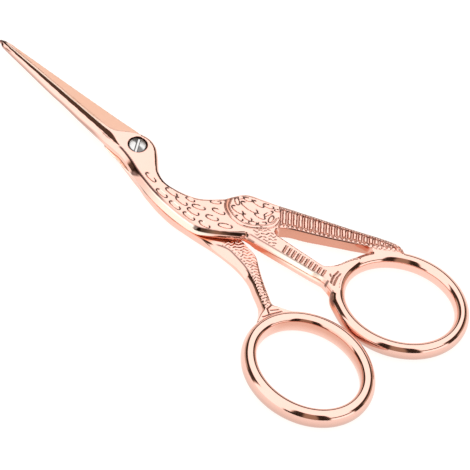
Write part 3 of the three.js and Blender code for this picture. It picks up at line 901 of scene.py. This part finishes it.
def back_field(plan, z):
    """Close to the distance from the back half's surface, below zero inside it"""
    height = -z
    share = np.clip((height - INNER) / (BACK_WIDE_DEPTH - INNER), 0.0, 1.0)
    spread = 1.0 - (1.0 - share) ** plan["power"]
    body = blend(plan["inner_side"], plan["wide_side"], spread)
    blade = plan["blade_side"] + seam_inset(height, plan["seam"], np.minimum(SEAM_REACH, plan["low"]))
    side = smooth_min(body, blade, BACK_BLADE_BLEND) + edge_inset(height, plan)
    plate = smooth_max(side, height - plan["outer"], TOP_ROUND)
    plate = smooth_max(plate, plan["inner"] - height, plan["roll"])
    solid = smooth_min(plate, ring_field(plan["off_spine"], z, BACK_RING), RING_FILLET)
    solid = smooth_max(solid, height - OUTER, FINE_ROUND)
    return smooth_max(solid, BORE_RADIUS - np.hypot(plan["x"], plan["y"]), FINE_ROUND)


def screw_plan(x, y):
    """What the screw's field needs at each x and y, and the painted shade on its head"""
    from_axis = np.hypot(x, y)
    across = np.abs(turned(x, y, SLOT_TURN)[1])
    # Painted shade: a dark rim, dark lines beside the slot, and dark wedges between painted glints
    rim = profile(from_axis - SCREW_RADIUS, RIM_SHADE)
    slot_side = stroke(np.abs(across - SLOT_WIDTH / 2), SLOT_SHADE_HALF_WIDTH)
    glint = 0.5 - 0.5 * np.cos(2.0 * (np.arctan2(y, x) - GLINT_TURN))
    wedge = profile(glint, GLINT_SHADE) * (across > SLOT_WIDTH / 2)
    return {
        "from_axis": from_axis, "across": across, "reach": from_axis - SCREW_RADIUS,
        "shade": np.maximum.reduce([rim, slot_side, wedge]),
    }


def screw_field(plan, z):
    """Close to the distance from the screw's surface, below zero inside it"""
    dome = z - OUTER + SCREW_DOME * (plan["from_axis"] / SCREW_RADIUS) ** 2
    head = smooth_max(plan["from_axis"] - SCREW_RADIUS, dome, SCREW_HEAD_ROUND)
    head = smooth_max(head, SCREW_SEAT - z, FINE_ROUND)
    slot = np.maximum(plan["across"] - SLOT_WIDTH / 2, OUTER - SLOT_DEPTH - z)
    head = smooth_max(head, -slot, SLOT_ROUND)
    shank_ends = np.maximum(z - SCREW_SEAT - SHANK_OVERLAP, -OUTER - z)
    shank = smooth_max(plan["from_axis"] - SHANK_RADIUS, shank_ends, SHANK_ROUND)
    return np.minimum(head, shank)


def levels_between(low, high, cell):
    """Heights for the mesher: close together round the mating plane, where the blades are thin"""
    fine = np.arange(-FINE_LEVELS, FINE_LEVELS + 1) * FINE_LEVEL
    higher = np.arange(fine[-1] + cell, high + cell, cell)
    lower = np.arange(fine[0] - cell, low - cell, -cell)
    return np.concatenate([lower[::-1], fine, higher])


def net_points(values, cells, corners, axes):
    """One point in each cell: the middle of where the surface crosses the edges of the cell"""
    total = np.zeros((len(cells), 3))
    hits = np.zeros(len(cells))
    for start in corners:
        for axis in range(3):
            if start[axis]:
                continue
            end = tuple(1 if k == axis else start[k] for k in range(3))
            i0, i1 = (cells + start).T, (cells + end).T
            v0, v1 = values[tuple(i0)], values[tuple(i1)]
            crossed = (v0 < 0) != (v1 < 0)
            share = np.where(crossed, v0 / np.where(crossed, v0 - v1, 1.0), 0.0)
            for k, places in enumerate(axes):
                total[:, k] += crossed * (places[i0[k]] + share * (places[i1[k]] - places[i0[k]]))
            hits += crossed
    return total / hits[:, None]


def net_faces(inside, number):
    """One face across each edge of the grid that the surface crosses, from the cells round that edge"""
    faces = []
    for axis in range(3):
        u, v = (axis + 1) % 3, (axis + 2) % 3
        here = [slice(None)] * 3
        there = [slice(None)] * 3
        here[axis], there[axis] = slice(0, -1), slice(1, None)
        edges = np.argwhere(inside[tuple(here)] != inside[tuple(there)])
        ring = []
        for du, dv in ((-1, -1), (0, -1), (0, 0), (-1, 0)):
            place = edges.copy()
            place[:, u] += du
            place[:, v] += dv
            ring.append(number[tuple(place.T)])
        quads = np.stack(ring, 1)
        outward = inside[tuple(edges.T)]
        faces.append(np.where(outward[:, None], quads, quads[:, ::-1]))
    return np.vstack(faces)


def surface_net(plan_of, field_of, box, cell):
    """Meshes the surface where the field is zero: one vertex in each cell that the surface crosses"""
    (x0, y0, z0), (x1, y1, z1) = box
    xs = np.arange(x0, x1 + cell, cell)
    ys = np.arange(y0, y1 + cell, cell)
    zs = levels_between(z0, z1, cell)
    gx, gy = np.meshgrid(xs, ys, indexing="ij")
    plan = plan_of(gx.ravel(), gy.ravel())
    near = plan["reach"] < NEAR_CELLS * cell
    close = {name: values[near][:, None] for name, values in plan.items()}
    values = np.ones((len(xs) * len(ys), len(zs)), np.float32)
    values[near] = field_of(close, zs[None, :])
    values = values.reshape(len(xs), len(ys), len(zs))
    inside = values < 0
    counts = [size - 1 for size in inside.shape]
    corners = [(a, b, c) for a in (0, 1) for b in (0, 1) for c in (0, 1)]
    filled = np.zeros(counts, np.uint8)
    for a, b, c in corners:
        filled += inside[a:a + counts[0], b:b + counts[1], c:c + counts[2]]
    cells = np.argwhere((filled > 0) & (filled < len(corners)))
    number = np.full(counts, -1, np.int32)
    number[tuple(cells.T)] = np.arange(len(cells))
    return net_points(values, cells, corners, (xs, ys, zs)), net_faces(inside, number)


def slopes(plan_of, field_of, points):
    """The field's value and slope at each point, and the plan there"""
    x, y, z = points.T
    plan = plan_of(x, y)
    slope = np.empty_like(points)
    for axis in range(2):
        step = np.zeros(2)
        step[axis] = SLOPE_STEP
        ahead = field_of(plan_of(x + step[0], y + step[1]), z)
        behind = field_of(plan_of(x - step[0], y - step[1]), z)
        slope[:, axis] = (ahead - behind) / (2 * SLOPE_STEP)
    slope[:, 2] = (field_of(plan, z + SLOPE_STEP) - field_of(plan, z - SLOPE_STEP)) / (2 * SLOPE_STEP)
    return field_of(plan, z), slope, plan


def thin_out(obj, free, most):
    """Merges triangles where vertices are free to go, until no more than the given number are left"""
    group = obj.vertex_groups.new(name="free")
    group.add([int(i) for i in np.flatnonzero(free)], 1.0, "REPLACE")
    modifier = obj.modifiers.new("thin", "DECIMATE")
    modifier.ratio = min(1.0, most / len(obj.data.polygons))
    modifier.vertex_group = "free"
    graph = bpy.context.evaluated_depsgraph_get()
    thinned = bpy.data.meshes.new_from_object(obj.evaluated_get(graph))
    obj.modifiers.remove(modifier)
    obj.vertex_groups.remove(group)
    old = obj.data
    obj.data = thinned
    bpy.data.meshes.remove(old)


def make_piece(name, plan_of, field_of, masks_of, box, cell, free_of=None):
    """Builds one smooth solid as a mesh object, in metres and on the table"""
    points, faces = surface_net(plan_of, field_of, box, cell)
    mesh = bpy.data.meshes.new(name)
    mesh.from_pydata(points, [], faces)
    obj = bpy.data.objects.new(name, mesh)
    bpy.context.scene.collection.objects.link(obj)
    if free_of is not None:
        thin_out(obj, free_of(points), MOST_TRIANGLES)
    mesh = obj.data
    mesh.name = name
    points = np.empty(3 * len(mesh.vertices))
    mesh.vertices.foreach_get("co", points)
    points = points.reshape(-1, 3)
    value, slope, _ = slopes(plan_of, field_of, points)
    steep = np.sum(slope ** 2, 1) + TINY
    move = -(value / steep)[:, None] * slope
    length = np.maximum(np.linalg.norm(move, axis=1), TINY)
    points = points + move * np.minimum(1.0, 0.5 * cell / length)[:, None]
    _, slope, plan = slopes(plan_of, field_of, points)
    normals = slope / (np.linalg.norm(slope, axis=1)[:, None] + TINY)
    placed = (points + (0.0, 0.0, OUTER)) * MILLIMETRE
    mesh.vertices.foreach_set("co", placed.ravel())
    mesh.polygons.foreach_set("use_smooth", np.ones(len(mesh.polygons), bool))
    mesh.update()
    corner = np.empty(len(mesh.loops), np.int32)
    mesh.loops.foreach_get("vertex_index", corner)
    mesh.normals_split_custom_set(normals[corner])
    for mask, values in masks_of(points, normals, plan).items():
        mesh.attributes.new(mask, "FLOAT", "POINT").data.foreach_set("value", values.astype(np.float32))
    return obj


def satin_share(points, normals):
    """1 on the ground faces: the halves' inner sides and the strip along each blade's edge"""
    x, y, z = points.T
    blade_y = np.where(z > 0, y, 2 * BLADE_LINE_Y - y)
    level = np.abs(normals[:, 2]) > LEVEL_FACE
    ledge = (x > LEDGE_LEAST_X) & (y < LEDGE_MOST_Y)
    inner = level & (np.abs(z) < 2 * INNER) & ~ledge
    strip = level & (blade_y > along_line(x, HOLLOW_LINE)) & (np.abs(z) > 2 * INNER)
    return np.where(inner, profile(x, INNER_SATIN), strip * profile(x, STRIP_SATIN))


def scoop_end_shade(x, y, scoops):
    """1 along both ends of each scoop's outline, where painted shade goes"""
    share = np.zeros(x.shape)
    for scoop in scoops:
        cx, cy, turn, half_length, _ = scoop
        near = beside_scoop(x, y, scoop)
        distance = oval_distance(x[near], y[near], scoop)
        along, _ = turned(x[near] - cx, y[near] - cy, math.radians(turn))
        ends = stroke(np.abs(distance), SCOOP_LINE_HALF_WIDTH)
        ends *= profile(np.abs(along) / half_length, SCOOP_LINE_ALONG)
        share[near] = np.maximum(share[near], ends)
    return share


def tail_shade_lines(x, y):
    """1 along the painted shade lines of the tail: one side of each gap, and between the beads"""
    upper, upper_along = line_distance(x, y, TAIL_UPPER_LINE)
    lower, _ = line_distance(x, y, TAIL_LOWER_LINE)
    across = tail_across(x, y)
    phase = np.mod(across / TAIL_RIB_PITCH + 0.5, 1.0) - 0.5
    beside = GAP_LINE_SHARE * stroke(np.abs(phase + GAP_LINE_PHASE) * TAIL_RIB_PITCH, GAP_LINE_HALF_WIDTH)
    beside *= (upper > UPPER_BORDER) & (lower > LOWER_BORDER)
    between = 1.0 - bead(upper - TAIL_BEAD_INSET, upper_along, TAIL_BEAD_PITCH, TAIL_BEAD_RADIUS)
    beads = (upper < UPPER_BORDER) * between * profile(x, BEAD_SHADE)
    return np.maximum(beside, beads) * profile(across, TAIL_RIBS_FROM)


def within_zone(zone, share_of, x, y):
    """A share that is worked out where the zone is and 0 elsewhere"""
    share = np.zeros(x.shape)
    share[zone] = share_of(x[zone], y[zone])
    return share


def line_at(middle, half_width):
    """The profile across a stroke"""
    core, reach = STROKE_CORE * half_width, STROKE_REACH * half_width
    return span(middle - reach, middle - core, middle + core, middle + reach)


# Tones of painted light, shade and reflection on the plating: the layer that each belongs to, then its
# profile along each measure that limits it
ON_SIDE = {"facing_z": below(0.6), "facing_y": below(-0.2)}
ON_FLANK = {"facing_z": below(0.75), "facing_y": below(-0.3)}
ON_TOP = {"z": above(CARVED_LEAST_Z)}
# Painted shade and painted red reflection along the seam between the halves, along x
SEAM_SHADE = span(5, 6.5, 7.5, 11, 0.7)
SEAM_REFLECTION = [(7, 0), (10, 0.5), (18, 0.5), (24, 1), (25, 1), (27, 0)]
FRONT_SEAM_LINE = {"y": below(-4), "z": fade(0.35, 0.7)}
BACK_SEAM_LINE = {"y": below(-4), "z": grow(-0.35, -0.1), "inside": fade(0.3, 0.6)}
UNDER_LEG = {"y": below(3), "z": fade(0.9, 1.5), **ON_SIDE}
# A painted highlight: a light, rougher line along the edge of the blade's hollow
HOLLOW_HIGHLIGHT = {"x": fade(-9, -6), "from_hollow": line_at(0.06, 0.1), "z": above(0.4)}
# Where painted warm shade, painted shade lines and painted red reflection lie
WING_EDGE_SHADE = line_at(0, 1.3 * WING_BORDER_HALF_WIDTH)
NECK_SHADE = [(-2.6, 0), (-1.8, 1), (11, 1), (15, 0.3), (20, 0.3), (23, 0)]
BELLY_EDGE_SHADE = [
    (21.6, 0), (22.2, 0.85), (24, 0.85), (26.5, 0.17), (27.5, 0.17), (28.5, 0.68), *fade(29, 30.5, 0.68),
]
BELOW_JOINT_REFLECTION = [(50.7, 0), (51.3, 0.85), (54, 0.85), (57, 0.425), *fade(59, 64, 0.425)]
# Painted shade on the rings' lower outer walls, where the shaded table is reflected
RING_SHADE = ("line", {"x": grow(50, 54), "off_spine": above(0), "facing_z": fade(-0.3, 0.6, 0.3)})
FRONT_TONES = {
    # Painted light: the highlight line at the hollow's edge, rougher through the satin layer, and lighter
    # flanks on neck and leg
    "hollow": ("satin", HOLLOW_HIGHLIGHT),
    "pale hollow": ("pale", HOLLOW_HIGHLIGHT),
    "neck flank": ("pale", {"x": span(6, 14.5, 24, 26.5), "y": below(-4), "z": grow(0.3, 0.7), **ON_FLANK}),
    "leg flank": ("pale", {"x": span(33, 43, 47.5, 49.5), "y": below(5), "z": grow(0.5, 1), **ON_FLANK}),
    # Painted shade in the carving's hollows
    "carving": ("groove", {"cut": grow(0.2, 0.45), "facing_z": above(0.2), "on_tail": [(0, 1), (1, 0.5)]}),
    # Painted warm shade on the walls below the tail and the leg, and on the wing's border
    "fork": ("warm", {"x": span(33, 34.5, 49, 51), "from_fork": above(0), **ON_SIDE}),
    "leg": ("warm", {"x": span(30, 31.5, 34, 42), **UNDER_LEG}),
    "wing's edge": ("warm", {"x": fade(23.5, 26), "z": above(2), "from_border": WING_EDGE_SHADE}),
    # Painted red reflection of the gold on the walls below the leg, on the belly, along the seam and below
    # the ring's joint
    "deep leg": ("deep", {"x": span(30, 31.5, 34, 42, 0.6), **UNDER_LEG}),
    "belly": ("deep", {"x": span(22.5, 26, 31, 32), "y": below(2), "z": fade(0.6, 1.1), **ON_SIDE}),
    "red seam": ("deep", {"x": SEAM_REFLECTION, **FRONT_SEAM_LINE, **ON_SIDE}),
    "below the joint": ("deep", {
        "x": BELOW_JOINT_REFLECTION, "y": below(5), "z": span(-0.9, -0.1, 0.9, 1.3), "off_spine": grow(0.7, 1.1),
    }),
    # Painted shade: dark lines and patches at the tip, along spine, edges and seam, in the carving, at
    # throat, notch and wedge, and on the ring
    "tip": ("line", {"x": fade(-37.3, -36.9, 0.8), "y": grow(-1.2, -1)}),
    "spine": ("line", {"x": fade(-10, -5), "from_spine": fade(0.1, 0.35, 0.42)}),
    "neck": ("line", {
        "x": NECK_SHADE, "y": below(-2), "inside": span(-0.25, -0.07, 0.13, 0.31), "level": ON_TOP["z"],
    }),
    "throat": ("line", {
        "x": span(3, 3.8, 4.9, 6.2, 0.85), "y": below(-4), "inside": below(0.1), "slanted_z": grow(0.8, 1.2),
    }),
    "dark seam": ("line", {"x": SEAM_SHADE, **FRONT_SEAM_LINE}),
    "belly's edge": ("line", {
        "x": BELLY_EDGE_SHADE, "y": below(1), "z": above(OUTER - BELLY_CHAMFER), "inside": fade(0, 0.1),
    }),
    "wing's groove": ("line", {
        "x": [(24, 0.7), (26.5, 0.3)], "z": above(2), "from_border": line_at(WING_GROOVE_OFFSET, 0.1),
    }),
    "thigh": ("line", {"thigh_cut": grow(0.05, 0.1, 0.6), **ON_TOP}),
    "dash before the leg": ("line", {
        "x": span(31, 31.4, 32.6, 33, 0.6), "y": below(1.2), "z": span(1, 1.2, 1.6, 1.8),
        "inside": below(-0.35),
    }),
    "leg's edge": ("line", {
        "x": span(30.5, 31.5, 48, 49.5, 0.7), "y": below(5), "inside": line_at(0, 0.12), **ON_TOP,
    }),
    "leg's slots": ("line", {"slot_cut": grow(0.2, 0.3, 0.75), **ON_TOP}),
    "tail's lower edge": ("line", {
        "x": span(35, 36, 46.5, 48), "z": above(2.2), "inside": line_at(0, 0.16),
        "from_tail": span(-1, -1, 1, 1),
    }),
    "joint": ("line", {"joint_cut": grow(0.08, 0.2, 0.8), **ON_TOP}),
    "notch": ("line", {
        "x": span(49.55, 49.8, 50.1, 50.35, 0.8), "y": below(4.6), "z": grow(0.8, 1.2), "inside": below(0.15),
    }),
    "wedge": ("line", {
        "x": span(51.6, 52.1, 53.8, 55.2, 0.75), "y": below(5.2), "off_spine": above(0.3),
        "facing_z": span(0.1, 0.25, 0.65, 0.8),
    }),
    "ring": RING_SHADE,
}
BACK_TONES = {
    # Painted light on the heel's ledge
    "ledge": ("pale", {"x": span(-8, -8, 3, 6, 0.8), "y": below(-3.3), "facing_z": grow(0.1, 0.4)}),
    # Painted shade in the outer carving's hollows
    "outer carving": ("groove", {"outer_cut": grow(0.1, 0.3), "facing_z": below(-0.2)}),
    # Painted warm shade on the belly and inside the ring, where the other half's gold is reflected
    "belly": ("warm", {
        "x": span(23, 25.5, 30, 30), "y": below(-2), "z": above(-0.6), "from_shade": grow(-0.25, 0.25),
    }),
    "in the ring": ("warm", {"y": grow(-14, -9), "z": grow(-1.2, 1.2), "off_spine": fade(-1.4, -0.9, 0.8)}),
    # Painted red reflection along the seam, and painted shade along the seam, the leg's edge, the cuts, the
    # joint and the ring
    "red seam": ("deep", {"x": SEAM_REFLECTION, **BACK_SEAM_LINE}),
    "dark seam": ("line", {"x": SEAM_SHADE, **BACK_SEAM_LINE}),
    "leg's edge": ("line", {"x": span(26.8, 27.8, 36, 38, 0.85), "y": below(-2), "inside": line_at(0, 0.16)}),
    "cuts": ("line", {"x": below(45), "cut": grow(0.04, 0.1, 0.6), "facing_z": above(0.5)}),
    "joint": ("line", {"joint_cut": grow(0.05, 0.2), "facing_z": above(0.5)}),
    "ring": RING_SHADE,
}


def measures_of(points, normals, plan):
    """The measures that limit the tones of both halves"""
    x, y, z = points.T
    return {
        "x": x, "y": y, "z": z, "facing_y": normals[:, 1], "facing_z": normals[:, 2],
        "inside": plan["inside"], "off_spine": plan["off_spine"], "cut": -plan["relief"],
    }


def layer_shares(tones, measures):
    """Each layer's share: the strongest of its tones at every point"""
    shares = {layer: np.zeros(measures["x"].shape) for layer, _ in LAYERS}
    for layer, limits in tones.values():
        levels = [profile(measures[name], stops) for name, stops in limits.items()]
        shares[layer] = np.maximum(shares[layer], np.prod(levels, axis=0))
    return shares


def front_masks(points, normals, plan):
    x, y, z = points.T
    tail = on_tail(x, y)
    from_border, _ = line_distance(x, y, WING_BORDER_LINE)
    shares = layer_shares(FRONT_TONES, {
        **measures_of(points, normals, plan),
        "level": np.where(x < HEAD_X, OUTER, z),
        "on_tail": tail.astype(float),
        "from_border": from_border,
        "from_hollow": y - along_line(x, HOLLOW_LINE),
        "from_spine": y - along_line(x, SPINE_LINE),
        "from_tail": y - along_line(x, TAIL_LOWER_LINE),
        "from_fork": y - along_line(x, UNDER_TAIL_LINE),
        "slanted_z": z - THROAT_SLANT * (x - THROAT_X),
        "thigh_cut": -thigh_relief(x, y),
        "slot_cut": -within_zone(in_zone(x, y, LEG_ZONE), leg_relief, x + SLOT_SHADOW, y),
        "joint_cut": -strokes_relief(x, y, FRONT_STROKES) * in_zone(x, y, FRONT_JOINT_ZONE),
    })
    # Painted shade at the ends of feathers and leaves and along the tail's ribs and beads
    carving_shade = np.maximum(scoop_end_shade(x, y, FEATHERS + WING_LEAVES), within_zone(tail, tail_shade_lines, x, y))
    shares["line"] = np.maximum(shares["line"], carving_shade * (z > CARVED_LEAST_Z))
    shares["satin"] = np.maximum(shares["satin"], satin_share(points, normals))
    return shares


def back_masks(points, normals, plan):
    x, y, _ = points.T
    shares = layer_shares(BACK_TONES, {
        **measures_of(points, normals, plan),
        "outer_cut": -plan["outer_relief"],
        "joint_cut": -strokes_relief(x, y, BACK_STROKES),
        "from_shade": y - np.interp(x, *zip(*BELLY_SHADE)),
    })
    shares["satin"] = np.maximum(shares["satin"], satin_share(points, normals))
    return shares


def screw_masks(points, normals, plan):
    return {"shade": plan["shade"]}


def free_on(ring):
    """Vertices of a half that may be merged: its flat inner face, and the ring away from its joints"""
    def free(points):
        flat = np.abs(np.abs(points[:, 2]) - INNER) < FLAT_TOLERANCE
        return flat | (points[:, 0] > ring[0] - FREE_RING)
    return free


# Lines and grids that the forms are read from
sections = np.array(BLADE_SECTIONS)
STRIP_HEIGHT_LINE = spline(sections[:, [0, 1]])
HOLLOW_LINE = spline(sections[:, [0, 2]])
RIDGE_LINE = spline(sections[:, [0, 3, 4]])
STRIP_EDGE_LINE = spline(STRIP_EDGE)
CUTTING_EDGE_LINE = spline(CUTTING_EDGE)
BACK_CUTTING_EDGE_LINE = spline(BACK_CUTTING_EDGE)
SPINE_LINE = spline(SPINE)[::-1]
BACK_SPINE_LINE = spline(BACK_SPINE)[::-1]
WING_BORDER_LINE = spline(WING_BORDER)
TAIL_UPPER_LINE = spline(TAIL_UPPER)
TAIL_LOWER_LINE = spline(TAIL_LOWER)
TAIL_DROP_LINE = spline(TAIL_DROP)
UNDER_TAIL_LINE = np.array(UNDER_TAIL)

front_top = STRIP_EDGE[:-1] + FRONT_TOP + [(x, ridge_y) for x, _, _, ridge_y, _ in BLADE_SECTIONS[::-1]]
back_blade = np.vstack([BACK_CUTTING_EDGE_LINE, BACK_SPINE_LINE[::-1]]) * (1, -1) + (0, 2 * BLADE_LINE_Y)
FRONT_TOP_GRID = PlanGrid(spline(front_top, closed=True), FRONT_BOX)
BACK_INNER_GRID = PlanGrid(spline(BACK_INNER, closed=True), BACK_BOX)
BACK_WIDE_GRID = PlanGrid(spline(BACK_WIDE, closed=True), BACK_BOX)
BACK_BLADE_GRID = PlanGrid(back_blade, BACK_BOX)


def set_socket(tree, socket, value):
    """Links a socket to another one, or sets its value"""
    if isinstance(value, bpy.types.NodeSocket):
        tree.links.new(value, socket)
    else:
        socket.default_value = value


def add_node(tree, kind, inputs=None, **settings):
    """Adds a shader node of a kind, with its settings and its inputs by name or number"""
    node = tree.nodes.new("ShaderNode" + kind)
    for name, value in settings.items():
        setattr(node, name, value)
    for name, value in (inputs or {}).items():
        set_socket(tree, node.inputs[name], value)
    return node


def new_material(name):
    material = bpy.data.materials.new(name)
    material.use_nodes = True
    return material, material.node_tree, material.node_tree.nodes["Principled BSDF"]


def mask_share(tree, mask):
    return add_node(tree, "Attribute", attribute_name=mask).outputs["Fac"]


def mix_values(tree, share, first, second):
    return add_node(tree, "Mix", {0: share, 2: first, 3: second}).outputs[0]


def mix_colours(tree, share, first, second):
    return add_node(tree, "Mix", {0: share, 6: first, 7: second}, data_type="RGBA").outputs[2]


def mixed_by_masks(tree, mixed, layers):
    """A colour that turns to each layer's where its mask is 1"""
    for mask, layer_colour in layers:
        mixed = mix_colours(tree, mask_share(tree, mask), mixed, layer_colour)
    return mixed


def noise(tree, place, scale, detail, stretch=(1.0, 1.0, 1.0)):
    """Fine uneven texture, drawn out along an axis where its stretch is small"""
    vector = add_node(tree, "Mapping", {"Vector": place, "Scale": stretch}).outputs["Vector"]
    return add_node(tree, "TexNoise", {"Vector": vector, "Scale": scale, "Detail": detail}).outputs["Fac"]


def map_range(tree, value, least, most):
    return add_node(tree, "MapRange", {"Value": value, "To Min": least, "To Max": most}).outputs["Result"]


def rise(tree, value, low, high):
    """0 up to the low value and 1 from the high one on, with a smooth step between them"""
    inputs = {"Value": value, "From Min": low, "From Max": high}
    return add_node(tree, "MapRange", inputs, interpolation_type="SMOOTHSTEP").outputs["Result"]


def math_node(tree, operation, *values):
    return add_node(tree, "Math", dict(enumerate(values)), operation=operation).outputs[0]


def add_bump(tree, shader, height, strength):
    inputs = {"Height": height, "Strength": strength, "Distance": BUMP_DISTANCE}
    set_socket(tree, shader.inputs["Normal"], add_node(tree, "Bump", inputs).outputs["Normal"])


def rose_gold_metal(name):
    """Polished plating, satin on the ground faces, with painted light, painted shade in the recesses and
    along fine lines, and painted warm shade and red reflection
    """
    material, tree, shader = new_material(name)
    place = add_node(tree, "TexCoord").outputs["Object"]
    clouds = noise(tree, place, CLOUD_SCALE, CLOUD_DETAIL)
    brushed = noise(tree, place, BRUSH_SCALE, BRUSH_DETAIL, BRUSH_STRETCH)
    peel = noise(tree, place, PEEL_SCALE, PEEL_DETAIL)
    satin = mask_share(tree, "satin")
    plating = add_node(tree, "HueSaturation", {
        "Color": mixed_by_masks(tree, POLISHED, LAYERS),
        "Saturation": map_range(tree, clouds, *CLOUD_SATURATION),
    })
    polished_rough = map_range(tree, clouds, *POLISHED_ROUGHNESS)
    satin_rough = map_range(tree, brushed, *SATIN_ROUGHNESS)
    set_socket(tree, shader.inputs["Base Color"], plating.outputs["Color"])
    set_socket(tree, shader.inputs["Roughness"], mix_values(tree, satin, polished_rough, satin_rough))
    add_bump(tree, shader, mix_values(tree, satin, peel, brushed), PLATING_BUMP)
    shader.inputs["Metallic"].default_value = 1.0
    return material


def steel_metal(name):
    """Steel turned on a lathe: fine rings round the axis"""
    material, tree, shader = new_material(name)
    place = add_node(tree, "TexCoord").outputs["Object"]
    inputs = {"Vector": place, "Scale": TURNING_SCALE, "Distortion": TURNING_WOBBLE}
    rings = add_node(tree, "TexWave", inputs, wave_type="RINGS", rings_direction="Z").outputs["Fac"]
    # The shade mask paints shade on the screw head's rim, beside its slot and between painted glints
    set_socket(tree, shader.inputs["Base Color"], mixed_by_masks(tree, STEEL, [("shade", STEEL_SHADE)]))
    set_socket(tree, shader.inputs["Roughness"], map_range(tree, rings, *TURNED_ROUGHNESS))
    add_bump(tree, shader, rings, TURNING_BUMP)
    shader.inputs["Metallic"].default_value = 1.0
    return material


rose_gold = rose_gold_metal("rose_gold_polished")
steel = steel_metal("screw_steel_brushed")

front_free, back_free = free_on(FRONT_RING), free_on(BACK_RING)
front = make_piece("front_half_forged", front_plan, front_field, front_masks, FRONT_BOX, CELL, front_free)
front.data.materials.append(rose_gold)
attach(front, "front")
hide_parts("front_half")

back = make_piece("back_half_forged", back_plan, back_field, back_masks, BACK_BOX, CELL, back_free)
back.data.materials.append(rose_gold)
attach(back, "back")
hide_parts("back_half")

screw = make_piece("pivot_screw_turned", screw_plan, screw_field, screw_masks, SCREW_BOX, SCREW_CELL)
screw.data.materials.append(steel)
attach(screw, "back")
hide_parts("pivot_screw")

# Camera
camera_data = bpy.data.cameras.new("camera")
camera_data.lens = CAMERA_LENS
camera_data.sensor_width = CAMERA_SENSOR
camera_data.clip_end = CAMERA_REACH
camera = bpy.data.objects.new("camera", camera_data)
bpy.context.scene.collection.objects.link(camera)
towards = (LOOK_AT - CAMERA_PLACE).normalized()
aim = towards.to_track_quat("-Z", "Y").to_matrix() @ Matrix.Rotation(CAMERA_ROLL, 3, "Z")
camera.matrix_world = Matrix.Translation(CAMERA_PLACE) @ aim.to_4x4()
bpy.context.scene.camera = camera

# Floor
floor_mesh = bpy.data.meshes.new("floor")
floor_corners = [(x * FLOOR_HALF, y * FLOOR_HALF, 0) for x, y in ((-1, -1), (1, -1), (1, 1), (-1, 1))]
floor_mesh.from_pydata(floor_corners, [], [(0, 1, 2, 3)])
floor = bpy.data.objects.new("floor", floor_mesh)
bpy.context.scene.collection.objects.link(floor)
floor_material, _, floor_shader = new_material("floor_white")
floor_shader.inputs["Base Color"].default_value = FLOOR_COLOUR
floor_shader.inputs["Roughness"].default_value = FLOOR_ROUGHNESS
floor_shader.inputs["Specular IOR Level"].default_value = 0.0
floor_shader.inputs["Emission Color"].default_value = FLOOR_GLOW
floor_shader.inputs["Emission Strength"].default_value = FLOOR_GLOW_STRENGTH
floor_mesh.materials.append(floor_material)


def grey(level):
    return (level, level, level, 1.0)


def round_band(tree, turn, stops):
    """Brightness round the horizon from (degrees, level) stops, from the first at -180 to the last at 180"""
    ramp = add_node(tree, "ValToRGB", {0: turn})
    elements = ramp.color_ramp.elements
    for place, level in stops[1:-1]:
        elements.new((place + 180.0) / 360.0).color = grey(level)
    elements[0].color = grey(stops[0][1])
    elements[len(elements) - 1].color = grey(stops[-1][1])
    return ramp.outputs[0]


def studio_light(tree):
    """Panels of light round the scissors, in bands from the horizon up, with dark gaps between them"""
    direction = add_node(tree, "TexCoord").outputs["Generated"]
    split = add_node(tree, "SeparateXYZ", {0: direction}).outputs
    azimuth = math_node(tree, "ARCTAN2", split["Y"], split["X"])
    turn = math_node(tree, "MULTIPLY_ADD", azimuth, 1.0 / (2.0 * math.pi), 0.5)
    elevation = math_node(tree, "DEGREES", math_node(tree, "ARCSINE", split["Z"]))
    low, middle, high, high_from, panel_edge = (
        round_band(tree, turn, stops) for stops in (LOW_BAND, MIDDLE_BAND, HIGH_BAND, HIGH_FROM, PANEL_EDGE)
    )
    sky = mix_colours(tree, rise(tree, elevation, *MIDDLE_FROM), low, middle)
    above_limit = math_node(tree, "SUBTRACT", elevation, high_from)
    sky = mix_colours(tree, rise(tree, above_limit, *HIGH_SOFTNESS), sky, high)
    sky = mix_colours(tree, rise(tree, elevation, *TOP_FROM), sky, grey(1.0))
    under_end = math_node(tree, "SUBTRACT", 1.0, rise(tree, elevation, *PANEL_EDGE_TO))
    edge_height = math_node(tree, "MULTIPLY", rise(tree, elevation, *PANEL_EDGE_FROM), under_end)
    on_edge = math_node(tree, "MULTIPLY", edge_height, panel_edge)
    sky = mix_colours(tree, on_edge, sky, grey(PANEL_EDGE_LEVEL))
    warmth = add_node(tree, "ValToRGB", {0: sky})
    warmth.color_ramp.elements[0].color = grey(0.0)
    warmth.color_ramp.elements[1].color = grey(1.0)
    warmth.color_ramp.elements.new(DIM).color = DIM_COLOUR
    background = tree.nodes["Background"]
    set_socket(tree, background.inputs["Color"], warmth.outputs[0])
    background.inputs["Strength"].default_value = STUDIO_STRENGTH


# Studio and lamp
world = bpy.data.worlds.new("studio")
bpy.context.scene.world = world
world.use_nodes = True
studio_light(world.node_tree)

lamp_data = bpy.data.lights.new("overhead", "AREA")
lamp_data.shape = "DISK"
lamp_data.size = LAMP_SIZE
lamp_data.energy = LAMP_POWER
lamp = bpy.data.objects.new("overhead", lamp_data)
lamp.location = LAMP_PLACE
lamp.visible_glossy = False
bpy.context.scene.collection.objects.link(lamp)

bpy.context.scene.view_settings.view_transform = "Standard"
